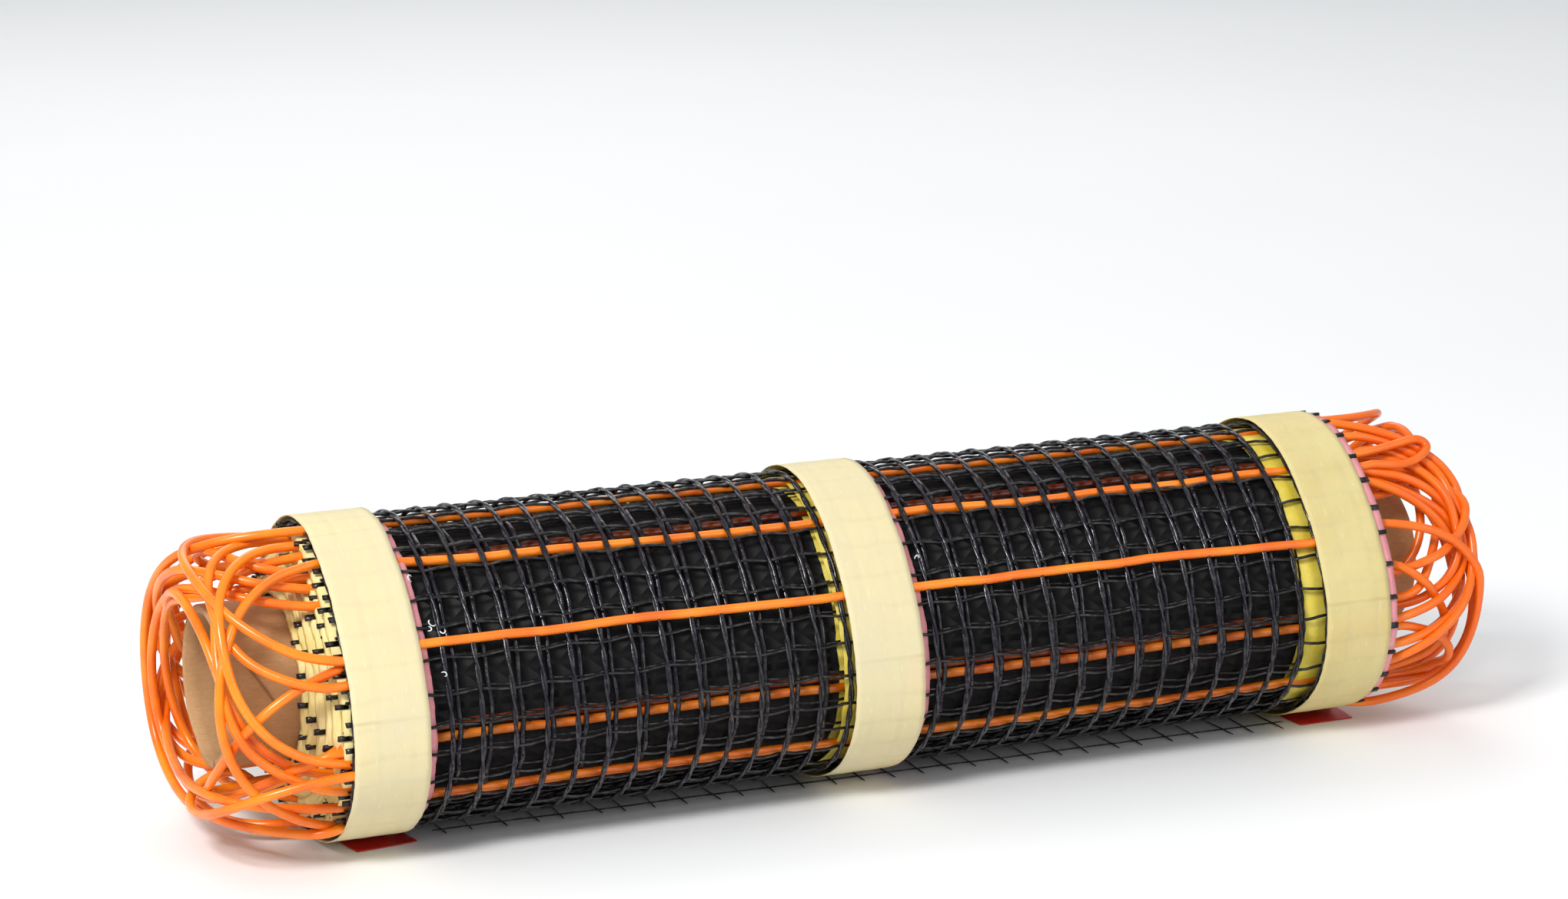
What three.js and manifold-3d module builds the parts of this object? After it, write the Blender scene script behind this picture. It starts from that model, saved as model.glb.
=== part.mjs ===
// Underfloor heating mat, wound on a cardboard core and lying on its side on the floor.
// Millimetres, +Z up, +X along the roll. Angles round the roll start at the front (-Y) and rise over the top.

import * as THREE from "three";
import { mergeVertices } from "three/addons/utils/BufferGeometryUtils.js";
import Module from "manifold-3d";

// Core tube
const coreOuterRadius = 29;
const coreWall = 3;
const coreLength = 473;

// Wound mesh: the turns, how far each stands out past the one outside it, and the furrows between them
const turnCount = 7;
const turnThickness = 4.13;
const meshWidth = 410.6;
const meshOffset = 2.8;
const turnCreep = 1.4;
const furrowWidth = 1;
const furrowDepth = 2.2;

// The loose winding sags under its own weight: round at the core, and at the outside lower and wider by the
// flattening, with the slump's share of its width moved from above the core to below it
const flattening = 2.4;
const slump = 0.22;

// Heating cable, glued across the mesh in one zigzag that loops out past both edges
const cableDiameter = 3.4;
const cableProud = 0.6;
const runSpacing = 62.6;
const firstRun = 59.5;
const straightPastEdge = 4;
const loopReach = 43.5;
const loopDrawIn = 0.12;
const loopSteps = 12;
const cableSides = 8;

// Paper tape over the mesh at both edges and the middle, with its pink film showing along one edge
const tapeWidth = 27.2;
const tapeThickness = 0.8;
const tapeFromEdge = 0.5;
const middleTapeOffset = -2;
const filmWidth = 3.4;
const filmThickness = 0.4;

// Free end of the mesh, flat on the floor in front of the roll
const cellPitch = 11.5;
const strandWidth = 1.8;
const strandThickness = 1.3;
const endStrandDistance = 21.5;
const tailReach = 8;
const tailBackUnderTape = 19;
const freeEndSkew = 1.1;

// Red pull tabs on the ends of the two edge tapes
const tabWidth = 26.5;
const tabShift = 7;
const tabBack = 14.5;
const tabFront = 31;
const tabThickness = 0.6;
const tabCorner = 4;

// Clearances and roundness
const clearance = 0.3;
const ringSides = 48;
const channelSides = 12;

const cableRadius = cableDiameter / 2;
const windingInnerRadius = coreOuterRadius + clearance;
const windingRadius = windingInnerRadius + turnCount * turnThickness;
const tapeInnerRadius = windingRadius + cableProud + clearance;
const tapeOuterRadius = tapeInnerRadius + tapeThickness;
const meshLeft = meshOffset - meshWidth / 2;
const meshRight = meshOffset + meshWidth / 2;
const turnAngle = 2 * Math.PI;
const floorAngle = -Math.PI / 2;

const wasm = await Module();
wasm.setup();

// A place on the winding, from its radius before sagging and its angle round the roll
function woundPoint(x, radius, angle) {
  const { clamp, lerp } = THREE.MathUtils;
  const depth = clamp((radius - coreOuterRadius) / (windingRadius - coreOuterRadius), 0, 1);
  const proud = radius - lerp(coreOuterRadius, windingRadius, depth);
  const halfWidth = (windingRadius + flattening) * (1 - slump * Math.sin(angle));
  const across = lerp(coreOuterRadius, halfWidth, depth) + proud;
  const upright = lerp(coreOuterRadius, windingRadius - flattening, depth) + proud;
  return new THREE.Vector3(x, -across * Math.cos(angle), upright * Math.sin(angle));
}

// The floor is where the lowest tape touches down
const floorLevel = woundPoint(0, tapeOuterRadius, floorAngle).z;

function positionsOnly(geometry) {
  geometry.deleteAttribute("normal");
  geometry.deleteAttribute("uv");
  return mergeVertices(geometry, 1e-4);
}

// A ring turned round the roll's axis from a closed outline of [x, radius] pairs, then sagged
function turned(outline) {
  const profile = outline.map(([x, radius]) => new THREE.Vector2(radius, x));
  const geometry = new THREE.LatheGeometry([...profile, profile[0]], ringSides);
  const position = geometry.getAttribute("position");
  for (let i = 0; i < position.count; i += 1) {
    const radius = Math.hypot(position.getX(i), position.getZ(i));
    const angle = Math.atan2(position.getZ(i), position.getX(i));
    const place = woundPoint(position.getY(i), radius, angle);
    position.setXYZ(i, place.x, place.y, place.z);
  }
  return positionsOnly(geometry);
}

function ring(left, right, innerRadius, outerRadius) {
  return turned([[left, innerRadius], [left, outerRadius], [right, outerRadius], [right, innerRadius]]);
}

function circleShape(radius, sides) {
  const points = [];
  for (let i = 0; i < sides; i += 1) {
    const angle = (turnAngle * i) / sides;
    points.push(new THREE.Vector2(radius * Math.cos(angle), radius * Math.sin(angle)));
  }
  return new THREE.Shape(points);
}

function toSolid(geometry) {
  const vertProperties = Float32Array.from(geometry.getAttribute("position").array);
  const triVerts = Uint32Array.from(geometry.getIndex().array);
  return new wasm.Manifold(new wasm.Mesh({ numProp: 3, vertProperties, triVerts }));
}

function toGeometry(solid) {
  const mesh = solid.getMesh();
  const geometry = new THREE.BufferGeometry();
  geometry.setAttribute("position", new THREE.BufferAttribute(mesh.vertProperties, 3));
  geometry.setIndex(new THREE.BufferAttribute(mesh.triVerts, 1));
  return geometry;
}

function joined(geometries) {
  return toGeometry(geometries.map(toSolid).reduce((whole, next) => whole.add(next)));
}

// A path with a section at each of its stations, close together in bends and far apart on straights
class StationPath extends THREE.Curve {
  constructor(stations) {
    super();
    this.stations = stations;
  }

  getPointAt(share, target = new THREE.Vector3()) {
    return target.copy(this.stations[Math.round(share * (this.stations.length - 1))]);
  }

  getTangentAt(share, target = new THREE.Vector3()) {
    const last = this.stations.length - 1;
    const here = Math.round(share * last);
    const back = Math.max(here - 1, 0);
    const ahead = Math.min(here + 1, last);
    const leaving = this.stations[ahead].clone().sub(this.stations[here]).normalize();
    const arriving = this.stations[here].clone().sub(this.stations[back]).normalize();
    return target.copy(leaving.add(arriving)).normalize();
  }
}

// The turn that holds each run of cable, and the run's place on it, from the free end inwards
function cableRuns() {
  const runs = [];
  let turn = 0;
  let angle = firstRun / windingRadius;
  while (turn < turnCount) {
    const radius = windingRadius + cableProud - cableRadius - turn * turnThickness;
    runs.push({ turn, radius, angle: floorAngle - angle });
    angle += runSpacing / radius;
    turn = Math.floor(angle / turnAngle);
  }
  return runs;
}

function leftEndOfTurn(turn) {
  return meshLeft - turn * turnCreep;
}

// One loop past an edge of the mesh, drawn in towards the core as it leaves the mesh
function loopStations(from, to, side) {
  const endOf = (run) => (side < 0 ? leftEndOfTurn(run.turn) : meshRight);
  const leave = endOf(from) + side * straightPastEdge;
  const enter = endOf(to) + side * straightPastEdge;
  const farthest = side < 0 ? meshLeft - loopReach : meshRight + loopReach;
  const stations = [];
  for (let i = 0; i <= loopSteps; i += 1) {
    const share = i / loopSteps;
    const out = Math.sin(Math.PI * share) ** 0.75;
    const sweep = (1 - Math.cos(Math.PI * share)) / 2;
    const edge = THREE.MathUtils.lerp(leave, enter, share);
    const radius = THREE.MathUtils.lerp(from.radius, to.radius, sweep);
    const drawnRadius = radius - (radius - windingInnerRadius) * loopDrawIn * out * out;
    const angle = THREE.MathUtils.lerp(from.angle, to.angle, sweep);
    stations.push(woundPoint(THREE.MathUtils.lerp(edge, farthest, out), drawnRadius, angle));
  }
  return stations;
}

function cableStations(runs) {
  const first = runs[0];
  const last = runs[runs.length - 1];
  const endInset = cellPitch;
  const stations = [woundPoint(meshRight - endInset, first.radius, first.angle)];
  runs.slice(1).forEach((run, index) => {
    const side = index % 2 === 0 ? -1 : 1;
    stations.push(...loopStations(runs[index], run, side));
  });
  const lastX = runs.length % 2 === 0 ? meshRight - endInset : meshLeft + endInset;
  stations.push(woundPoint(lastX, last.radius, last.angle));
  return stations;
}

function heatingCable(runs) {
  const stations = cableStations(runs);
  return positionsOnly(new THREE.ExtrudeGeometry(circleShape(cableRadius, cableSides), {
    extrudePath: new StationPath(stations),
    steps: stations.length - 1,
    bevelEnabled: false,
  }));
}

// The end of the winding at one side: turn after turn, with a furrow between neighbours
function windingEnd(endOfTurn, inwards) {
  const outline = [];
  for (let turn = turnCount - 1; turn >= 0; turn -= 1) {
    const inner = windingRadius - (turn + 1) * turnThickness;
    const outer = inner + turnThickness;
    const end = endOfTurn(turn);
    if (turn < turnCount - 1) {
      outline.push([end + inwards * furrowDepth, inner]);
      outline.push([end, inner + furrowWidth]);
    } else {
      outline.push([end, inner]);
    }
    outline.push([end, outer]);
  }
  return outline;
}

function meshRoll(runs) {
  const left = windingEnd(leftEndOfTurn, 1);
  const right = windingEnd(() => meshRight, -1).reverse();
  const channelRadius = (cableRadius + clearance) / Math.cos(Math.PI / channelSides);
  const channelLength = meshWidth + 2 * (turnCount * turnCreep + furrowDepth);
  const channel = new THREE.ExtrudeGeometry(circleShape(channelRadius, channelSides), {
    depth: channelLength,
    bevelEnabled: false,
  });
  channel.rotateY(Math.PI / 2);
  channel.translate(meshOffset - channelLength / 2, 0, 0);
  const bare = positionsOnly(channel);
  let solid = toSolid(turned([...left, ...right]));
  for (const run of runs) {
    const place = woundPoint(0, run.radius, run.angle);
    solid = solid.subtract(toSolid(bare.clone().translate(place.x, place.y, place.z)));
  }
  return toGeometry(solid);
}

// Left edges of the three tapes, left to right
const tapeLefts = {
  left: meshLeft + tapeFromEdge,
  middle: middleTapeOffset - tapeWidth / 2,
  right: meshRight - clearance - filmWidth - tapeWidth,
};

function tape(left) {
  return ring(left, left + tapeWidth, tapeInnerRadius, tapeOuterRadius);
}

function film(tapeLeft) {
  const left = tapeLeft + tapeWidth + clearance;
  return ring(left, left + filmWidth, tapeInnerRadius, tapeInnerRadius + filmThickness);
}

function floorBlock(left, right, front, back, height) {
  const block = new THREE.BoxGeometry(right - left, back - front, height);
  block.translate((left + right) / 2, (front + back) / 2, floorLevel + height / 2);
  return positionsOnly(block);
}

// One strand along the roll between the pull tabs, and the cut tails of the strands that cross it
function meshFreeEnd() {
  const left = tapeLefts.left + tabShift + tabWidth + strandWidth;
  const right = tapeLefts.right + tabShift - strandWidth;
  const underMiddleTape = [tapeLefts.middle, tapeLefts.middle + tapeWidth + clearance + filmWidth];
  const strandFront = -endStrandDistance - strandWidth / 2;
  const strands = [floorBlock(left, right, strandFront, strandFront + strandWidth, strandThickness)];
  for (let x = left + cellPitch / 2; x < right - strandWidth; x += cellPitch) {
    const inMiddle = x > underMiddleTape[0] - strandWidth && x < underMiddleTape[1] + strandWidth;
    const inRight = x > tapeLefts.right - strandWidth;
    const back = inMiddle || inRight ? -tailBackUnderTape : 0;
    const front = -endStrandDistance - tailReach;
    strands.push(floorBlock(x - strandWidth / 2, x + strandWidth / 2, front, back, strandThickness));
  }
  return joined(strands).rotateZ(-THREE.MathUtils.degToRad(freeEndSkew));
}

function tab(tapeLeft) {
  const left = tapeLeft + tabShift;
  const outline = new THREE.Shape([
    new THREE.Vector2(left, -tabBack),
    new THREE.Vector2(left, -tabFront + tabCorner),
    new THREE.Vector2(left + tabCorner, -tabFront),
    new THREE.Vector2(left + tabWidth - tabCorner, -tabFront),
    new THREE.Vector2(left + tabWidth, -tabFront + tabCorner),
    new THREE.Vector2(left + tabWidth, -tabBack),
  ]);
  const geometry = new THREE.ExtrudeGeometry(outline, { depth: tabThickness, bevelEnabled: false });
  geometry.translate(0, 0, floorLevel);
  return positionsOnly(geometry);
}

function coreTube() {
  const half = coreLength / 2;
  return ring(-half, half, coreOuterRadius - coreWall, coreOuterRadius);
}

const materials = {
  kraft: { color: 0xc79a6b, roughness: 0.85, metalness: 0 },
  mesh: { color: 0x1c1a1e, roughness: 0.35, metalness: 0 },
  cable: { color: 0xf07a14, roughness: 0.4, metalness: 0 },
  paper: { color: 0xece0b6, roughness: 0.7, metalness: 0 },
  film: { color: 0xe79a9e, roughness: 0.45, metalness: 0 },
  tab: { color: 0xa8180c, roughness: 0.4, metalness: 0 },
};

function piece(name, geometry, finish) {
  const mesh = new THREE.Mesh(geometry, new THREE.MeshStandardMaterial(materials[finish]));
  mesh.name = name;
  return mesh;
}

const runs = cableRuns();
const heatingMat = new THREE.Group();
heatingMat.add(piece("core_tube", coreTube(), "kraft"));
heatingMat.add(piece("mesh_roll", meshRoll(runs), "mesh"));
heatingMat.add(piece("mesh_free_end", meshFreeEnd(), "mesh"));
heatingMat.add(piece("heating_cable", heatingCable(runs), "cable"));
for (const [side, left] of Object.entries(tapeLefts)) {
  heatingMat.add(piece(`tape_${side}`, tape(left), "paper"));
  heatingMat.add(piece(`tape_film_${side}`, film(left), "film"));
}
heatingMat.add(piece("pull_tab_left", tab(tapeLefts.left), "tab"));
heatingMat.add(piece("pull_tab_right", tab(tapeLefts.right), "tab"));

// Origin at the middle of the underside of the whole roll
const bounds = new THREE.Box3().setFromObject(heatingMat);
const centre = bounds.getCenter(new THREE.Vector3());
heatingMat.position.set(-centre.x, -centre.y, -bounds.min.z);

export default heatingMat;
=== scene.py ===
"""Underfloor heating mat roll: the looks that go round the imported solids."""

import math
import random

import bmesh
import bpy
import numpy as np
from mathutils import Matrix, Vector, noise


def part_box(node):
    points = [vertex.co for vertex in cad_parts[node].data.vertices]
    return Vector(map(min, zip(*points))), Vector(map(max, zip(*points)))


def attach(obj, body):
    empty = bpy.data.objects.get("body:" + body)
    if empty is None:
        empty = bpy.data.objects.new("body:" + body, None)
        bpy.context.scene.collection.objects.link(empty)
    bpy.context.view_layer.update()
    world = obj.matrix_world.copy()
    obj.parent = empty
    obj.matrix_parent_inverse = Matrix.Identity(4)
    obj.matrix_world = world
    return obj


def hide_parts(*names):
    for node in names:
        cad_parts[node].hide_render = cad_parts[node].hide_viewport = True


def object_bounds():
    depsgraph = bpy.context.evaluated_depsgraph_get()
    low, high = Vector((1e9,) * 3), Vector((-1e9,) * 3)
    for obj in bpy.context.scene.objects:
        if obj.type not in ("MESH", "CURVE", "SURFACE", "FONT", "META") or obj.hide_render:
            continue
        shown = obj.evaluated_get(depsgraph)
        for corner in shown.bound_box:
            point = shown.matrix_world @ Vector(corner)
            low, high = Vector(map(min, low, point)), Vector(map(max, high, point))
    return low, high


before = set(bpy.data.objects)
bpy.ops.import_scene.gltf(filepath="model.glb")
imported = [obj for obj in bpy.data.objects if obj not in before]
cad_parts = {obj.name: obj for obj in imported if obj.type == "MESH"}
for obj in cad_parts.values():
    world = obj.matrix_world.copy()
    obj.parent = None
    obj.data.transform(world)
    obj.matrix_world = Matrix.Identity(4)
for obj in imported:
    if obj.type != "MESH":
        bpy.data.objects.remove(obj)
SOLIDS_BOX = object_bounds()

bl_info = {
    "name": "Heating Mat Roll",
    "version": (1, 0, 0),
    "blender": (4, 5, 0),
    "location": "3D View > Sidebar > Heating Mat",
    "description": "Builds a rolled underfloor heating mat with its core, mesh, cable and tapes",
    "category": "Add Mesh",
}

MM = 0.001
CORE_LOW, CORE_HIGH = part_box("core_tube")
AXIS = Vector((0, (CORE_LOW.y + CORE_HIGH.y) / 2, (CORE_LOW.z + CORE_HIGH.z) / 2))
CORE_RADIUS = (CORE_HIGH.z - CORE_LOW.z) / 2
TURN_THICKNESS = 4.13 * MM
WINDING_RADIUS = 58.21 * MM
FLATTENING = 2.4 * MM
SLUMP = 0.22
TURNS = 7
MESH_LEFT = -205.3 * MM
MESH_RIGHT = 205.3 * MM
TURN_CREEP = 1.4 * MM
TAPE_RADIUS = 59.55 * MM
FLOOR_ANGLE = -math.pi / 2
CELL_PITCH = 11.5 * MM
# The camera as a fit program placed it: place in metres, angles in degrees, sensor in millimetres,
# and the focal length and the frame's width in pixels
CAMERA_PLACE = (-0.61494, -1.37492, 0.48157)
CAMERA_TILT = 76.4863
CAMERA_TURN = -23.4223
SENSOR_WIDTH = 36
FOCAL_PIXELS = 5500
FRAME_PIXELS = 2040
FIRST_STRAND = -169.26 * MM


# The roll's section, and small helpers on it


def wound_point(x, radius, angle):
    """A point of the winding: round at the core, a slumped oval at the outside."""
    depth = min(1.0, max(0.0, (radius - CORE_RADIUS) / (WINDING_RADIUS - CORE_RADIUS)))
    proud = radius - (CORE_RADIUS + (WINDING_RADIUS - CORE_RADIUS) * depth)
    half_width = (WINDING_RADIUS + FLATTENING) * (1 - SLUMP * math.sin(angle))
    across = CORE_RADIUS + (half_width - CORE_RADIUS) * depth + proud
    upright = CORE_RADIUS + (WINDING_RADIUS - FLATTENING - CORE_RADIUS) * depth + proud
    return Vector((x, -across * math.cos(angle), AXIS.z + upright * math.sin(angle)))


def linear(colour):
    """A screen colour such as 0xE8590C as linear red, green, blue and alpha."""
    channels = [(colour >> shift & 255) / 255 for shift in (16, 8, 0)]
    return tuple(c / 12.92 if c <= 0.04045 else ((c + 0.055) / 1.055) ** 2.4 for c in channels) + (1.0,)


def smooth_noise(x, y=0.0, z=0.0):
    """Smooth noise between about -1 and 1."""
    return noise.noise(Vector((x, y, z)))


# Node trees written as arithmetic


class Value:
    """A number in a node tree. Arithmetic on it adds Math nodes."""

    def __init__(self, tree, socket):
        self.tree = tree
        self.socket = socket

    def maths(self, operation, *others):
        return self.tree.maths(operation, self, *others)

    def __add__(self, other):
        return self.tree.maths("ADD", self, other)

    def __radd__(self, other):
        return self.tree.maths("ADD", other, self)

    def __sub__(self, other):
        return self.tree.maths("SUBTRACT", self, other)

    def __rsub__(self, other):
        return self.tree.maths("SUBTRACT", other, self)

    def __mul__(self, other):
        return self.tree.maths("MULTIPLY", self, other)

    def __rmul__(self, other):
        return self.tree.maths("MULTIPLY", other, self)

    def __truediv__(self, other):
        return self.tree.maths("DIVIDE", self, other)

    def __rtruediv__(self, other):
        return self.tree.maths("DIVIDE", other, self)

    def __pow__(self, other):
        return self.tree.maths("POWER", self, other)

    def __neg__(self):
        return self.tree.maths("MULTIPLY", self, -1.0)


class Tree:
    """Adds nodes to a node tree, and joins them up by socket name or number."""

    def __init__(self, tree):
        self.tree = tree

    def node(self, kind, settings=None, inputs=None, output=0):
        """Adds a node: first its settings, then its inputs. Returns one output as a Value."""
        made = self.tree.nodes.new(kind)
        for name, value in (settings or {}).items():
            if name == "stops":
                ramp = made.color_ramp
                while len(ramp.elements) < len(value):
                    ramp.elements.new(0.5)
                for element, (place, colour) in zip(ramp.elements, value):
                    element.position = place
                    element.color = colour
            else:
                setattr(made, name, value)
        for name, value in (inputs or {}).items():
            if isinstance(value, Value):
                self.tree.links.new(value.socket, made.inputs[name])
            else:
                made.inputs[name].default_value = value
        return Value(self, made.outputs[output]) if len(made.outputs) else made

    def maths(self, operation, *values):
        return self.node("ShaderNodeMath", {"operation": operation}, dict(enumerate(values)))

    def sine(self, value):
        return self.maths("SINE", value)

    def cosine(self, value):
        return self.maths("COSINE", value)

    def vector(self, x, y, z):
        return self.node("ShaderNodeCombineXYZ", None, {0: x, 1: y, 2: z})

    def parts(self, vector):
        split = self.node("ShaderNodeSeparateXYZ", None, {0: vector})
        return [Value(self, output) for output in split.socket.node.outputs]

    def scaled(self, vector, scale):
        return self.node("ShaderNodeVectorMath", {"operation": "MULTIPLY"}, {0: vector, 1: scale})

    def noise(self, vector, scale, detail=3.0, roughness=0.5):
        return self.node(
            "ShaderNodeTexNoise", None,
            {"Vector": vector, "Scale": scale, "Detail": detail, "Roughness": roughness}
        )

    def ramp(self, value, low, high):
        """0 at low and 1 at high, and held outside them."""
        return self.node("ShaderNodeMapRange", {"clamp": True}, {0: value, 1: low, 2: high, 3: 0.0, 4: 1.0})

    def mix(self, share, first, second, blend="MIX"):
        """Two colours, by share."""
        return self.node(
            "ShaderNodeMix", {"data_type": "RGBA", "blend_type": blend}, {0: share, 6: first, 7: second}, 2
        )


class Finish(Tree):
    """One material with its Principled surface."""

    def __init__(self, name, **numbers):
        self.material = bpy.data.materials.new(name)
        self.material.use_nodes = True
        super().__init__(self.material.node_tree)
        self.surface = next(n for n in self.tree.nodes if n.type == "BSDF_PRINCIPLED")
        for socket, value in numbers.items():
            self.surface.inputs[socket.replace("_", " ")].default_value = value

    def place(self):
        return self.node("ShaderNodeTexCoord", None, None, 3)

    def laid(self):
        """Where a point lies on its strip: along the roll, round the roll, nothing."""
        return self.node("ShaderNodeUVMap", {"uv_map": "laid"})

    def wear(self, **links):
        for socket, value in links.items():
            self.tree.links.new(value.socket, self.surface.inputs[socket.replace("_", " ")])
        return self.material

    def bump(self, height, strength, distance):
        return self.node("ShaderNodeBump", None, {"Height": height, "Strength": strength, "Distance": distance})


# Meshes


def finished(name, mesh, material, slot, *nodes, smooth=True):
    """Puts a mesh in the scene as a piece that rides on the roll."""
    piece = bpy.data.objects.new(name, mesh)
    bpy.context.scene.collection.objects.link(piece)
    mesh.materials.clear()
    mesh.materials.append(material)
    mesh.polygons.foreach_set("use_smooth", [smooth] * len(mesh.polygons))
    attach(piece, "root")
    if nodes:
        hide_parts(*nodes)
    return piece


def mesh_of(name, points, faces, laid=None):
    """A mesh from points and faces, with a place on the strip for each point if given."""
    mesh = bpy.data.meshes.new(name)
    mesh.from_pydata([tuple(p) for p in points], [], faces)
    mesh.update()
    if laid is not None:
        uv = mesh.uv_layers.new(name="laid")
        flat = np.zeros(len(mesh.loops) * 2, np.float32)
        corner = np.zeros(len(mesh.loops), np.int32)
        mesh.loops.foreach_get("vertex_index", corner)
        flat[0::2] = np.array([p[0] for p in laid])[corner]
        flat[1::2] = np.array([p[1] for p in laid])[corner]
        uv.data.foreach_set("uv", flat)
    mesh.validate()
    return mesh


def grown(name, build, inputs):
    """Runs a geometry tree on an empty mesh and returns the plain mesh that it makes."""
    group = bpy.data.node_groups.new(name, "GeometryNodeTree")
    group.is_modifier = True
    group.interface.new_socket(name="Geometry", in_out="INPUT", socket_type="NodeSocketGeometry")
    group.interface.new_socket(name="Geometry", in_out="OUTPUT", socket_type="NodeSocketGeometry")
    kinds = {int: "NodeSocketInt", float: "NodeSocketFloat"}
    start = group.nodes.new("NodeGroupInput")
    identifiers = {}
    for label, value in inputs.items():
        kind = "NodeSocketMaterial" if isinstance(value, bpy.types.Material) else kinds.get(
            type(value), "NodeSocketObject"
        )
        identifiers[label] = group.interface.new_socket(name=label, in_out="INPUT", socket_type=kind).identifier
    tree = Tree(group)
    given = {label: Value(tree, start.outputs[label]) for label in inputs}
    made = build(tree, given)
    made = tree.node("GeometryNodeSetShadeSmooth", None, {0: made})
    made = tree.node("GeometryNodeRealizeInstances", None, {0: made})
    made = tree.node("GeometryNodeSetMaterial", None, {"Geometry": made, "Material": given["Material"]})
    end = group.nodes.new("NodeGroupOutput")
    group.links.new(made.socket, end.inputs[0])
    host = bpy.data.objects.new(name, bpy.data.meshes.new(name))
    bpy.context.scene.collection.objects.link(host)
    modifier = host.modifiers.new(name, "NODES")
    modifier.node_group = group
    for label, value in inputs.items():
        modifier[identifiers[label]] = value
    bpy.context.view_layer.update()
    evaluated = host.evaluated_get(bpy.context.evaluated_depsgraph_get())
    mesh = bpy.data.meshes.new_from_object(evaluated)
    host.modifiers.clear()
    bpy.data.objects.remove(host)
    mesh.name = name
    return mesh


def wound_node(tree, x, radius, angle):
    """wound_point in nodes."""
    depth = tree.node(
        "ShaderNodeMapRange", {"clamp": True}, {0: radius, 1: CORE_RADIUS, 2: WINDING_RADIUS, 3: 0.0, 4: 1.0}
    )
    proud = radius - (CORE_RADIUS + (WINDING_RADIUS - CORE_RADIUS) * depth)
    rise = tree.sine(angle)
    half_width = (WINDING_RADIUS + FLATTENING) * (1 - SLUMP * rise)
    across = CORE_RADIUS + (half_width - CORE_RADIUS) * depth + proud
    upright = CORE_RADIUS + (WINDING_RADIUS - FLATTENING - CORE_RADIUS) * depth + proud
    return tree.vector(x, -(across * tree.cosine(angle)), AXIS.z + upright * rise)


def curves_node(tree, count, shape):
    """count copies of a curve, with each point's curve number and its share of the way along."""
    points = tree.node("GeometryNodePoints", None, {"Count": count})
    placed = tree.node("GeometryNodeInstanceOnPoints", None, {"Points": points, "Instance": shape})
    curves = tree.node("GeometryNodeRealizeInstances", None, {0: placed})
    index = tree.node("GeometryNodeInputIndex")
    number = tree.node("GeometryNodeFieldOnDomain", {"domain": "CURVE", "data_type": "FLOAT"}, {0: index})
    share = tree.node("GeometryNodeSplineParameter")
    return curves, number, share


def chance(tree, number, low, high, seed):
    """A random number for each curve."""
    return tree.node(
        "FunctionNodeRandomValue",
        {"data_type": "FLOAT"},
        {"Min": low, "Max": high, "ID": number, "Seed": seed},
        1,
    )


def tube_node(tree, curves, width, sides, flat):
    """A tube of the given width round the curves, pressed flat by a share."""
    ring = tree.node(
        "GeometryNodeCurvePrimitiveCircle", {"mode": "RADIUS"}, {"Resolution": sides, "Radius": width / 2}
    )
    pressed = tree.node("GeometryNodeTransform", None, {"Geometry": ring, "Scale": tree.vector(1.0, flat, 1.0)})
    return tree.node(
        "GeometryNodeCurveToMesh", None, {"Curve": curves, "Profile Curve": pressed, "Fill Caps": True}
    )


def round_strands(tree, given):
    """Strands round the roll, as twisted pairs."""
    circle = tree.node(
        "GeometryNodeCurvePrimitiveCircle", {"mode": "RADIUS"},
        {"Resolution": given["Points"], "Radius": 1.0}
    )
    curves, number, share = curves_node(tree, given["Strands"] * given["Plies"], circle)
    strand = (number / given["Plies"]).maths("FLOOR")
    ply = number - strand * given["Plies"]
    angle = share * math.tau
    seed = chance(tree, strand, 0.0, math.tau, given["Seed"])
    twist = angle * given["Twists"] + ply * math.pi + seed + tree.sine(angle * 5 + seed) * 0.8
    drift = tree.sine(angle * 2 + seed) * 0.55 + tree.sine(angle * 7 + seed * 3) * 0.45
    x = given["First"] + given["Pitch"] * strand + tree.cosine(twist) * given["Spread"] + drift * given["Drift"]
    bulge = tree.sine(angle * 9 + seed * 2) * given["Drift"] * 0.35
    radius = given["Radius"] + tree.sine(twist) * given["Twist"] + bulge
    placed = tree.node(
        "GeometryNodeSetPosition", None,
        {"Geometry": curves, "Position": wound_node(tree, x, radius, angle)}
    )
    return tube_node(tree, placed, given["Width"], given["Sides"], given["Flat"])


def lengthwise_strands(tree, given):
    """Strands along the roll, wavy, from edge to edge."""
    line = tree.node("GeometryNodeCurvePrimitiveLine", None, {"Start": (0, 0, 0), "End": (1, 0, 0)})
    line = tree.node("GeometryNodeResampleCurve", None, {"Curve": line, "Count": given["Points"]})
    curves, number, share = curves_node(tree, given["Strands"], line)
    seed = chance(tree, number, 0.0, math.tau, given["Seed"])
    start = given["Left"] + chance(tree, number, -0.0006, 0.0006, given["Seed"] + 1)
    end = given["Right"] + chance(tree, number, -0.0009, 0.0, given["Seed"] + 2)
    x = start + (end - start) * share
    phase = (x - given["First"]) * (math.tau / given["Pitch"])
    side = given["Wave"] * tree.cosine(phase / 2 + number * math.pi) / given["Radius"]
    drift = (tree.sine(share * 9 + seed) + tree.sine(share * 23 + seed * 2) * 0.5) * given["Drift"] / given[
        "Radius"
    ]
    angle = (number + 0.5) * math.tau / given["Strands"] + side + drift
    radius = given["Radius"] - tree.cosine(phase) * given["Dip"]
    placed = tree.node(
        "GeometryNodeSetPosition", None,
        {"Geometry": curves, "Position": wound_node(tree, x, radius, angle)}
    )
    return tube_node(tree, placed, given["Width"], given["Sides"], given["Flat"])


def followed_path(tree, given):
    """A round cable along the points of a guide."""
    guide = tree.node("GeometryNodeObjectInfo", None, {"Object": given["Guide"]}, 4)
    curve = tree.node("GeometryNodeMeshToCurve", None, {0: guide})
    return tube_node(tree, curve, given["Width"], given["Sides"], given["Flat"])


# The cable's path


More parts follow.
